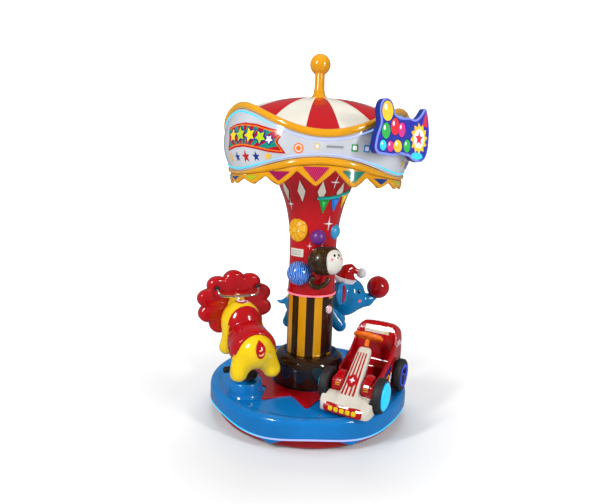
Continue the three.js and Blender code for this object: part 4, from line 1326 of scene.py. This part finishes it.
def plunger(name, place, body_name, belly, lift):
    """The post, the oval rubber pad and the footrest bar under an animal."""
    matrix = ride_matrix(place)
    post = [(0, 62), (22, 62), (22, 312 + lift), (0, 312 + lift)]
    make(f"{name}_post", *moved(turned_mesh(post, 48), matrix), body_name, CHROME,
         replaces=[f"{name}_plunger"], slot="black_rubber")
    pad = rounded([(0, 298 + lift), (80, 300 + lift), (92, 306 + lift), (94, 318 + lift), (84, 327 + lift),
                   (0, 328 + lift)], 5, 3)
    pad = [point for point in pad if point[0] > 0.01]
    outline = [(0, 298 + lift)] + pad[:-1] + [(0, 328 + lift)]
    oval = matrix @ Matrix.Diagonal((1, 0.78, 1, 1))
    make(f"{name}_pad", *moved(turned_mesh(outline, 64), oval), body_name, RUBBER)
    neck = soft_cut(limb((0, 0, 320 + lift), (0, 0, 470 + lift), 30, 26), grown(belly, -1.0), 1)
    sculpted(f"{name}_neck", neck, (-34, -34, 318 + lift), (34, 34, 470 + lift), place, body_name, RUBBER,
             3.5)
    bar = [matrix @ Vector(point) for point in ((120, -104, 308 + lift), (120, 104, 308 + lift))]
    spine = [matrix @ Vector(point) for point in ((40, 0, 308 + lift), (122, 0, 308 + lift))]
    make(f"{name}_spine", *tube_mesh(spine, 15, 20), body_name, STEEL)
    make(f"{name}_bar", *tube_mesh(bar, 14, 24), body_name, STEEL)
    for k, end in ((0, -1), (1, 1)):
        grip = [matrix @ Vector((120, end * y, 308 + lift)) for y in (34, 40, 108, 114)]
        make(f"{name}_footgrip_{k}", *tube_mesh(grip, lambda t: 20 if 0 < t < 1 else 17, 28), body_name,
             RUBBER)
        for j in range(6):
            round_grip = [polar(20.6, 20 * i, 0) for i in range(18)]
            hoop = [matrix @ Vector((120 + u, end * (44 + 12 * j), 308 + lift + v)) for u, v, _ in round_grip]
            make(f"{name}_footgrip_rib_{k}_{j}", *tube_mesh(hoop, 1.8, 8, True), body_name, RUBBER)


# ---- elephant ----
def elephant_field():
    legs = [limb((-150, side * 66, 560), (-196, side * 84, 486), 62, 46) for side in (-1, 1)]
    legs += [limb((128, side * 62, 566), (204, side * 92, 478), 62, 50) for side in (-1, 1)]
    body = [ellipsoid((-20, 0, 610), (216, 140, 128)), ellipsoid((262, 0, 710), (132, 124, 134)),
            ellipsoid((226, 0, 656), (132, 122, 122))]
    trunk = [limb((300, 0, 660), (410, 0, 668), 92, 48), limb((410, 0, 668), (462, 0, 702), 48, 32)]
    tail = [limb((-200, 0, 640), (-262, 0, 618), 36, 13), limb((-262, 0, 618), (-290, 0, 624), 13, 11)]
    ears = [tilted_ear(side) for side in (-1, 1)]
    return soft_union(body + legs + trunk + tail + ears, 18)


def tilted_ear(side):
    return ellipsoid((206, side * 142, 738), (25, 92, 88), math.degrees(0.45) * side)


def elephant():
    body = elephant_field()
    shape = soft_cut(body, grown(post_field(PLUNGER_TOP + LIFT), 1.0), 1)
    shape = soft_cut(shape, ellipsoid((492, 0, 775), (88.6, 88.6, 88.6)), 1)
    sculpted("elephant_body_skin", shape, (-306, -236, 404), (492, 236, 850), ELEPHANT, "elephant_ride",
             SKY_COAT, 7, replaces=["elephant_body"], slot="sky_gelcoat")
    ball = turned_mesh([(88 * sin(9 * k), -88 * cos(9 * k)) for k in range(21)], 64)
    at = ride_matrix(ELEPHANT) @ Matrix.Translation((492, 0, 775))
    make("elephant_ball_skin", *moved(ball, at), "elephant_ride", RED_COAT, replaces=["elephant_ball"],
         slot="red_gelcoat")
    seam = [at @ Vector((0, 88.4 * cos(9 * i), 88.4 * sin(9 * i))) for i in range(40)]
    make("elephant_ball_seam", *tube_mesh(seam, 1.6, 8, True), "elephant_ride", DEEP_COAT)
    elephant_face(body)
    elephant_hat()
    grip = mirrored([(150, 150, 800), (128, 152, 822), (96, 140, 838), (88, 100, 842)], (86, 0, 842))
    bent_bar("elephant_handle_bar", grip, 9, ELEPHANT, "elephant_ride", ["elephant_handle"])
    saddle = [(150 * cos(10 * i), 84 * sin(10 * i)) for i in range(36)]
    top = decal_surface(body, (-60, 0, 720), (0.02, 0, -1), ELEPHANT)
    patch("elephant_saddle_edge", [(x * 1.08, y * 1.12) for x, y in swapped(saddle)], top, GOLD_COAT,
          body="elephant_ride", low=0.2, high=3, step=14)
    patch("elephant_saddle", swapped(saddle), top, RED_COAT, body="elephant_ride", low=3, high=6, step=12)
    plunger("elephant", ELEPHANT, "elephant_ride", body, LIFT)


def swapped(outline):
    return [(y, x) for x, y in outline]


def elephant_face(body):
    for side in (-1, 1):
        look = decal_surface(body, (340, side * 90, 752), (-0.15, -side, 0), ELEPHANT)
        patch(f"elephant_eye_{side + 2}", disc(12, 17), look, BLACK_COAT, "elephant_ride", high=4, step=4)
        patch(f"elephant_glint_{side + 2}", shifted(disc(3.5, 4.5, 14), 3, 6), look, WHITE_COAT,
              "elephant_ride", low=4, high=5, step=3)
        ear = decal_surface(tilted_ear(side), (206, side * 152, 742), (-0.9, -side * 0.43, 0), ELEPHANT)
        patch(f"elephant_ear_inner_{side + 2}", disc(26, 70), ear, RED_COAT, "elephant_ride", low=0.4,
              high=5, step=9)
    for side in (-1, 1):
        blush = decal_surface(body, (352, side * 96, 676), (-0.3, -side, 0), ELEPHANT)
        patch(f"elephant_cheek_{side + 2}", disc(17, 12), blush, PINK_COAT, "elephant_ride", high=2.6,
              step=5)


def elephant_hat():
    lean = ride_matrix(ELEPHANT) @ Matrix.Translation((62, 0, 28)) @ Matrix.Rotation(math.radians(12), 4, "Y")
    cone = soft_union([limb((0, 0, 830), (0, 0, 890), 84, 46), limb((0, 0, 890), (20, 0, 912), 46, 30),
                       limb((20, 0, 912), (78, 0, 896), 30, 21)], 14)
    part = field_mesh(both(cone, lambda x, y, z: 812 - z, 3), (-92, -92, 806), (108, 92, 950), 4)
    make("elephant_hat_cone", *moved(part, lean), "elephant_ride", RED_COAT, replaces=["elephant_hat"],
         slot="red_gelcoat")
    fluff = [(40, 792), (88, 792), (101, 801), (104, 814), (98, 828), (86, 834), (40, 834)]
    band = ring_mesh(72, lambda a: [(r + (2.6 * sin(11 * a) if r > 80 else 0), z)
                                    for r, z in rounded(fluff, 12, 4)])
    make("elephant_hat_band", *moved(band, lean), "elephant_ride", FLEECE)
    ball = turned_mesh([(42 * sin(10 * k), 894 - 42 * cos(10 * k)) for k in range(19)], 40)
    make("elephant_hat_pompom", *moved(ball, lean @ Matrix.Translation((112, 0, 0))), "elephant_ride", FLEECE)


# ---- kart ----
TYRE_FRONT, TYRE_REAR, TYRE_SIDE, TYRE_Z = 138, -248, 174, 311


def kart_tub_field():
    side = [(-318, 207), (176, 207), (186, 300), (176, 366), (96, 380), (10, 410), (-110, 452), (-190, 520),
            (-236, 600), (-256, 636), (-292, 644), (-330, 600), (-334, 420)]
    shell = both(prism(rounded(side, 22, 4), 300, 14), tub_front, 8)
    well = prism(rounded([(-150, 236), (84, 236), (84, 760), (-262, 760), (-226, 560), (-206, 390),
                          (-150, 372)],
                         24, 4), 256, 18)
    tub = soft_cut(shell, well, 5)
    for x in (TYRE_FRONT, TYRE_REAR):
        for flank in (-1, 1):
            tub = soft_cut(tub, wheel_well(x, flank), 5)
    tub = soft_cut(tub, prism([(150, 180), (420, 180), (420, 420), (150, 420)], 120), 2)
    column_gap = [(84, 180), (180, 180), (180, 560), (-60, 560), (-60, 236), (84, 236)]
    return soft_cut(tub, prism(column_gap, 108), 2)


def wheel_well(axle_x, flank):
    """The hollow round one tyre: a lying cylinder with eased edges."""
    def field(x, y, z):
        side = np.sqrt((x - axle_x) ** 2 + (z - TYRE_Z) ** 2) - (TYRE_R + 7)
        return eased(side, np.abs(y - flank * (TYRE_SIDE + 8)) - 46, 6.0)
    return field


def tub_front(x, y, z):
    """The kart seen from the front: upright sides that round over into the top of the back-rest."""
    rise = np.maximum(z - 420, 0) / 228
    return ((np.abs(y) / 152) ** 4 + rise ** 4) ** 0.25 * 152 - 152


def kart_tub():
    sculpted("kart_tub_skin", kart_tub_field(), (-340, -156, 200), (192, 156, 650), KART, "rotor", RED_COAT,
             5, replaces=["kart_tub"], slot="red_gelcoat")
    matrix = ride_matrix(KART)
    rim_line = mirrored([(84, 128, 385), (10, 138, 413), (-110, 138, 455), (-190, 136, 523),
                         (-236, 128, 600), (-262, 96, 630), (-270, 66, 643)], (-272, 0, 645))
    path = [matrix @ point for point in smooth_path(rim_line, 8)]
    make("kart_cockpit_edge", *tube_mesh(path, 3.2, 12), "rotor", DEEP_COAT)
    kart_graphics()
    kart_pods()
    kart_seat_pads()


def side_surface(flank, field):
    """Flat coordinates on an outer side of the kart: u runs towards the nose and v up."""
    return thrown(field, KART, lambda u, v: (u, flank * 230, v), (0, -flank, 0))


def kart_graphics():
    field = kart_tub_field()
    for flank in (-1, 1):
        side = side_surface(flank, field)
        tag = f"{flank + 2}"
        sweep = rounded([(20, 232), (18, 268), (-60, 300), (-128, 372), (-128, 330), (-96, 262),
                         (-110, 232)], 8, 3)
        patch(f"kart_sweep_{tag}", sweep, side, WHITE_COAT, step=12)
        band = rounded([(-130, 392), (-96, 418), (-4, 386), (24, 356), (4, 352), (-96, 380)], 6, 3)
        patch(f"kart_band_{tag}", band, side, NAVY_COAT, step=9)
        patch(f"kart_disc_{tag}", shifted(disc(27), -62, 338), side, GOLD_COAT, step=8)
        patch(f"kart_disc_star_{tag}", shifted(star(5, 20, 9), -62, 338), side, RED_COAT, low=1.6, high=2.6,
              step=6)
        for row, k in ((0, 0), (0, 2), (0, 4), (1, 1), (1, 3)):
            x, z = -300 + 18 * k, 506 + 18 * row
            square = [(x, z), (x + 18, z), (x + 18, z + 18), (x, z + 18)]
            patch(f"kart_check_{tag}_{row}_{k}", square, side, WHITE_COAT, step=6)
    back = thrown(field, KART, lambda u, v: (-100, u, v), (-1, 0, 0))
    patch("kart_placard", plate(-84, 572, 84, 620, 6, 4), back, CREAM_COAT, step=12)
    patch("kart_placard_square", plate(52, 582, 76, 610, 4, 3), back, GOLD_COAT, low=1.6, high=2.4, step=7)


def kart_seat_pads():
    """The moulded seat pan and bolsters in the well."""
    pan = soft_union([ellipsoid((-118, 0, 246), (84, 112, 34)), ellipsoid((-96, 92, 262), (70, 28, 34)),
                      ellipsoid((-96, -92, 262), (70, 28, 34))], 16)
    pan = both(pan, lambda x, y, z: 237 - z, 3)
    pan = both(pan, prism([(-148, 230), (80, 230), (80, 372), (-148, 372)], 254), 3)
    sculpted("kart_seat_pan", pan, (-152, -128, 234), (0, 128, 300), KART, "rotor", BLACK_COAT, 4)
    matrix = ride_matrix(KART)
    floor = pointwise(lambda u, v, lift: tuple(matrix @ Vector((u, v, 236.5 + lift))))
    for side in (-1, 1):
        mat = plate(-6, side * 58, 78, side * 122, 8, 3)
        patch(f"kart_floor_mat_{side + 2}", mat, floor, RUBBER, low=0, high=3, step=12)


def kart_pods():
    """Red side pods between the hood and the front tyres, each with two blank gold bars."""
    side_view = rounded([(84, 320), (178, 320), (184, 346), (170, 372), (120, 398), (84, 404)], 10, 4)
    for side in (-1, 1):
        pod = aside(prism(side_view, 56, 9), side * 92)
        sculpted(f"kart_pod_{side + 2}", pod, (80, side * 92 - 32, 316), (188, side * 92 + 32, 408), KART,
                 "rotor", RED_COAT, 4)
        front = thrown(pod, KART, lambda u, v: (300, side * 92 + u, v), (-1, 0, 0))
        for k in range(2):
            bar = plate(-16, 330 + 14 * k, 16, 336 + 14 * k, 2, 2)
            patch(f"kart_pod_bar_{side + 2}_{k}", bar, front, GOLD_COAT, low=0.2, high=1.6, step=5)


def aside(field, shift):
    """The field moved sideways along local Y."""
    return lambda x, y, z: field(x, y - shift, z)


HOOD = [(290, 214), (308, 236), (300, 262), (236, 318), (120, 420), (20, 506), (-22, 534), (-40, 520),
        (-30, 470), (60, 380), (140, 300), (180, 214)]


def kart_nose_field():
    hood = prism(rounded(HOOD, 26, 5), lambda x: 88 + 0.1 * (x + 40), 26)
    apron = prism(rounded([(190, 208), (308, 208), (318, 232), (300, 266), (236, 300), (190, 306)], 14, 4),
                  330, 12)
    body = both(soft_union([hood, apron], 30), nose_plan, 8)
    for flank in (-1, 1):
        body = soft_cut(body, wheel_well(TYRE_FRONT, flank), 4)
    return body


def nose_plan(x, y, z):
    """The nose seen from above: nearly square, with its front corners rounded."""
    return ((np.abs(x - 100) / 222) ** 6 + (np.abs(y) / 168) ** 6) ** (1 / 6) * 168 - 168


def kart_nose():
    field = kart_nose_field()
    sculpted("kart_nose_skin", field, (-46, -170, 202), (322, 170, 540), KART, "rotor", CREAM_COAT, 5,
             replaces=["kart_nose"], slot="cream_gelcoat")
    normal = Vector((0.66, 0, 0.75))
    foot = Vector((240, 0, 313)) + normal * 120
    over = thrown(field, KART, lambda u, v: foot + Vector((-0.765 * v, u, 0.66 * v)), -normal)
    for k, (foot_u, top_u) in enumerate(((-36, -27), (-13, -9), (13, 9), (36, 27))):
        stripe = rounded([(foot_u - 6, -6), (foot_u + 6, -6), (top_u + 4, 292), (top_u - 4, 292)], 3, 3)
        patch(f"kart_hood_stripe_{k}", stripe, over, RED_COAT, low=0.2, high=1.6, step=11)
    patch("kart_hood_emblem", shifted(disc(30, 42), 0, 92), over, RED_COAT, low=1.6, high=3, step=8)
    patch("kart_hood_emblem_star", shifted(star(4, 20, 9), 0, 94), over, WHITE_COAT, low=3, high=4.4, step=5)
    bumper = thrown(field, KART, lambda u, v: (420, u, v), (-1, 0, 0))
    patch("kart_nose_plate", plate(-122, 214, 122, 268, 26, 8), bumper, RED_COAT, low=0.2, high=3.4, step=9)
    for k in range(5):
        stud = plate(-88 + 37 * k, 228, -60 + 37 * k, 254, 9, 4)
        patch(f"kart_nose_stud_{k}", stud, bumper, YELLOW_COAT, low=3.4, high=4.8, step=6)


def kart_tyres():
    section = [(0, -20), (52, -22), (60, -25), (86, -26), (97, -25), (104, -18), (TYRE_R, 0), (104, 18),
               (97, 25), (86, 26), (60, 25), (52, 22), (0, 20)]
    for axle, x in (("front", TYRE_FRONT), ("rear", TYRE_REAR)):
        for side, flank in (("left", 1), ("right", -1)):
            name = f"kart_tyre_{axle}_{side}"
            at = (ride_matrix(KART) @ Matrix.Translation((x, flank * TYRE_SIDE, TYRE_Z))
                  @ Matrix.Rotation(math.radians(-90 * flank), 4, "X"))
            make(f"{name}_skin", *moved(turned_mesh(section, 72), at), "rotor", TYRE_RUBBER, replaces=[name],
                 slot="tyre_black")
            for k in range(40):
                turn = Matrix.Rotation(math.radians(9 * k), 4, "Z")
                block = box_mesh((99, -3.4, -17 + 2 * (k % 2)), (TYRE_R + 0.6, 3.4, 15 + 2 * (k % 2)))
                make(f"{name}_block_{k:02d}", *moved(block, at @ turn), "rotor", TYRE_RUBBER)
            wheel_face(name, at)


def wheel_face(name, at):
    """A lit disc in the front wheels, and a dark hub with a lit ring in the rear ones."""
    if "front" in name:
        lens = [(0, 20), (82, 20), (84, 26), (80, 33), (68, 39), (40, 45), (0, 47)]
        make(f"{name}_lens", *moved(turned_mesh(lens, 64), at), "rotor", HUB_LIGHT)
        bezel = rounded([(82, 20), (89, 20), (88, 29), (83, 30)], 2, 3)
        make(f"{name}_bezel", *moved(ring_mesh(64, lambda a: bezel), at), "rotor", BLUE_COAT)
        return
    glow = rounded([(62, 21), (72, 21), (72, 28), (66, 30)], 2, 3)
    make(f"{name}_glow", *moved(ring_mesh(64, lambda a: glow), at), "rotor", REAR_LIGHT)
    dish = [(0, 20), (62, 20), (62, 26), (54, 25), (30, 23.5), (18, 25), (15, 30), (9, 32), (0, 32)]
    make(f"{name}_hub", *moved(turned_mesh(dish, 48), at), "rotor", NAVY_COAT)
    for k in range(5):
        turn = Matrix.Rotation(math.radians(72 * k), 4, "Z")
        spoke = [Vector((14, 0, 26)), Vector((36, 0, 26)), Vector((60, 0, 25))]
        make(f"{name}_spoke_{k}", *moved(tube_mesh(spoke, 4.5, 12), at @ turn), "rotor", BLACK_COAT)


def box_mesh(low, high):
    corners = [(x, y, z) for x in (low[0], high[0]) for y in (low[1], high[1]) for z in (low[2], high[2])]
    faces = [(0, 1, 3, 2), (4, 6, 7, 5), (0, 4, 5, 1), (2, 3, 7, 6), (0, 2, 6, 4), (1, 5, 7, 3)]
    return corners, faces


def steering():
    at = (ride_matrix(KART) @ Matrix.Translation((STEER_X, 0, STEER_Z))
          @ Matrix.Rotation(math.radians(-STEER_LEAN), 4, "Y"))
    column = rounded([(0.01, -66), (15, -66), (15, -20), (19, -18), (19, -14.4), (0.01, -14.4)], 2, 3)
    make("steering_column_skin", *moved(turned_mesh(on_axis(column), 40), at), "rotor", ORANGE_COAT,
         replaces=["steering_column"], slot="orange_plastic")
    path = [Vector(polar(84, 6 * i, 0)) for i in range(60)]
    rim = tube_mesh(path, 13, 20, True)
    make("steering_wheel_rim", *moved(rim, at), "steering", ORANGE_COAT, replaces=["steering_wheel"],
         slot="orange_plastic")
    for k, turn in enumerate((90, 180, 270)):
        spoke = [Vector(polar(radius, turn, z)) for radius, z in ((20, 0), (48, -2), (78, 0))]
        part = tube_mesh(spoke, lambda t: 9.5 - 2.5 * math.sin(math.pi * t), 14)
        make(f"steering_spoke_{k}", *moved(part, at), "steering", ORANGE_COAT)
    hub = rounded([(0.01, -13), (26, -13), (26, 6), (20, 12), (0.01, 12)], 4, 4)
    make("steering_hub", *moved(turned_mesh(on_axis(hub), 44), at), "steering", ORANGE_COAT)
    cap = [(0, 11), (16, 11), (16, 13), (12, 15), (0, 15.5)]
    make("steering_cap", *moved(turned_mesh(cap, 40), at), "steering", WHITE_COAT)


def on_axis(outline):
    """The outline with its first and last points moved onto the axis."""
    middle = [point for point in outline if point[0] > 0.5]
    return [(0, outline[0][1])] + middle + [(0, middle[-1][1])]


# ---- inner parts, which keep their CAD shape ----
def inner_parts():
    coats = {STEEL: ("base_frame", "turntable_frame", "canopy_frame", "central_mast"),
             BRIGHT_STEEL: ("slewing_ring_fixed", "slewing_ring_turning"), COPPER: ("slip_ring_core",),
             RUBBER: ("levelling_foot_1", "levelling_foot_2", "levelling_foot_3", "levelling_foot_4",
                      "drive_roller", "slip_ring_brushes", "power_inlet"),
             MOTOR_COAT: ("gear_motor",), CASE_COAT: ("control_box",)}
    for coat, names in coats.items():
        for name in names:
            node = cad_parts[name]
            node.data.materials.clear()
            node.data.materials.append(coat)


# ---- stage, light and camera, in metres ----
STAGE_R = 9


def floor():
    """A plain pale floor that fades into a plain white backdrop all round; neither shines in the gelcoat."""
    bpy.ops.mesh.primitive_circle_add(radius=STAGE_R, vertices=96, fill_type="NGON", location=(0, 0, 0))
    ground = bpy.context.object
    ground.name = "studio_floor"
    ground.data.materials.append(stage_coat("studio_floor", 0.06))
    bpy.ops.mesh.primitive_cylinder_add(radius=STAGE_R, depth=24, vertices=96, end_fill_type="NOTHING",
                                        location=(0, 0, 0))
    wall = bpy.context.object
    wall.name = "studio_backdrop"
    wall.data.materials.append(stage_coat("studio_backdrop", 1.0))
    wall.visible_diffuse = False
    ground.visible_glossy = wall.visible_glossy = False


def stage_coat(name, glow):
    """A matt white that glows more the further it is from the object, up to full white at 6 m."""
    graph = Graph(name)
    graph.shader.inputs["Base Color"].default_value = (0.72, 0.725, 0.73, 1)
    graph.shader.inputs["Roughness"].default_value = 0.9
    graph.glow((1, 1, 1), glow)
    length = graph.add("VectorMath", Vector=graph.nodes.new("ShaderNodeNewGeometry").outputs["Position"])
    length.operation = "LENGTH"
    graph.set(graph.shader.inputs["Emission Strength"],
              graph.ramp(length.outputs["Value"], 1.0, 6.0, glow, 1.0))
    return graph.material


def softbox(name, place, target, width, height, power, shine=True):
    data = bpy.data.lights.new(name, "AREA")
    data.shape, data.size, data.size_y = "RECTANGLE", width, height
    data.energy = power
    light = bpy.data.objects.new(name, data)
    light.location = place
    light.rotation_euler = (Vector(target) - Vector(place)).to_track_quat("-Z", "Y").to_euler()
    light.visible_glossy = shine
    bpy.context.scene.collection.objects.link(light)


def lights():
    world = bpy.data.worlds.new("studio")
    bpy.context.scene.world = world
    world.use_nodes = True
    world.node_tree.nodes["Background"].inputs["Color"].default_value = (0.95, 0.975, 1.0, 1)
    world.node_tree.nodes["Background"].inputs["Strength"].default_value = 0.22
    softbox("key_light", (-2.6, -3.0, 3.2), (0, 0, 1.0), 0.35, 1.6, 140)
    softbox("fill_light", (3.0, -2.6, 2.4), (0, 0, 1.0), 0.25, 1.6, 90)
    softbox("top_light", (0, -0.4, 4.4), (0, 0, 1.0), 2.4, 2.4, 48, shine=False)
    softbox("back_light", (0, 5.0, 4.6), (0, 4.2, 0), 7.0, 4.0, 420, shine=False)
    bpy.context.scene.view_settings.view_transform = "Standard"


def camera():
    data = bpy.data.cameras.new("camera")
    data.lens, data.sensor_width = 28.14, 36
    camera_object = bpy.data.objects.new("camera", data)
    turn = (Matrix.Rotation(math.radians(1.58), 4, "Z") @ Matrix.Rotation(math.radians(90 - 7.9), 4, "X")
            @ Matrix.Rotation(math.radians(2.1), 4, "Z"))
    camera_object.matrix_world = Matrix.Translation((0, -3.19, 1.53)) @ turn
    bpy.context.scene.collection.objects.link(camera_object)
    bpy.context.scene.camera = camera_object


for builder in (base_skirt, deck, deck_lights, deck_star, drum, column_lower, start_button, column_upper,
                column_rings, column_stars, bunting, toys, monkey, monkey_arm, fascia_band, fascia_trims,
                fascia_lights, fascia_stars, banners, stickers, canopy_ceiling, canopy_roof, finial, valance,
                sign, lion, elephant, kart_tub, kart_nose, kart_tyres, steering, inner_parts, floor, lights,
                camera):
    builder()
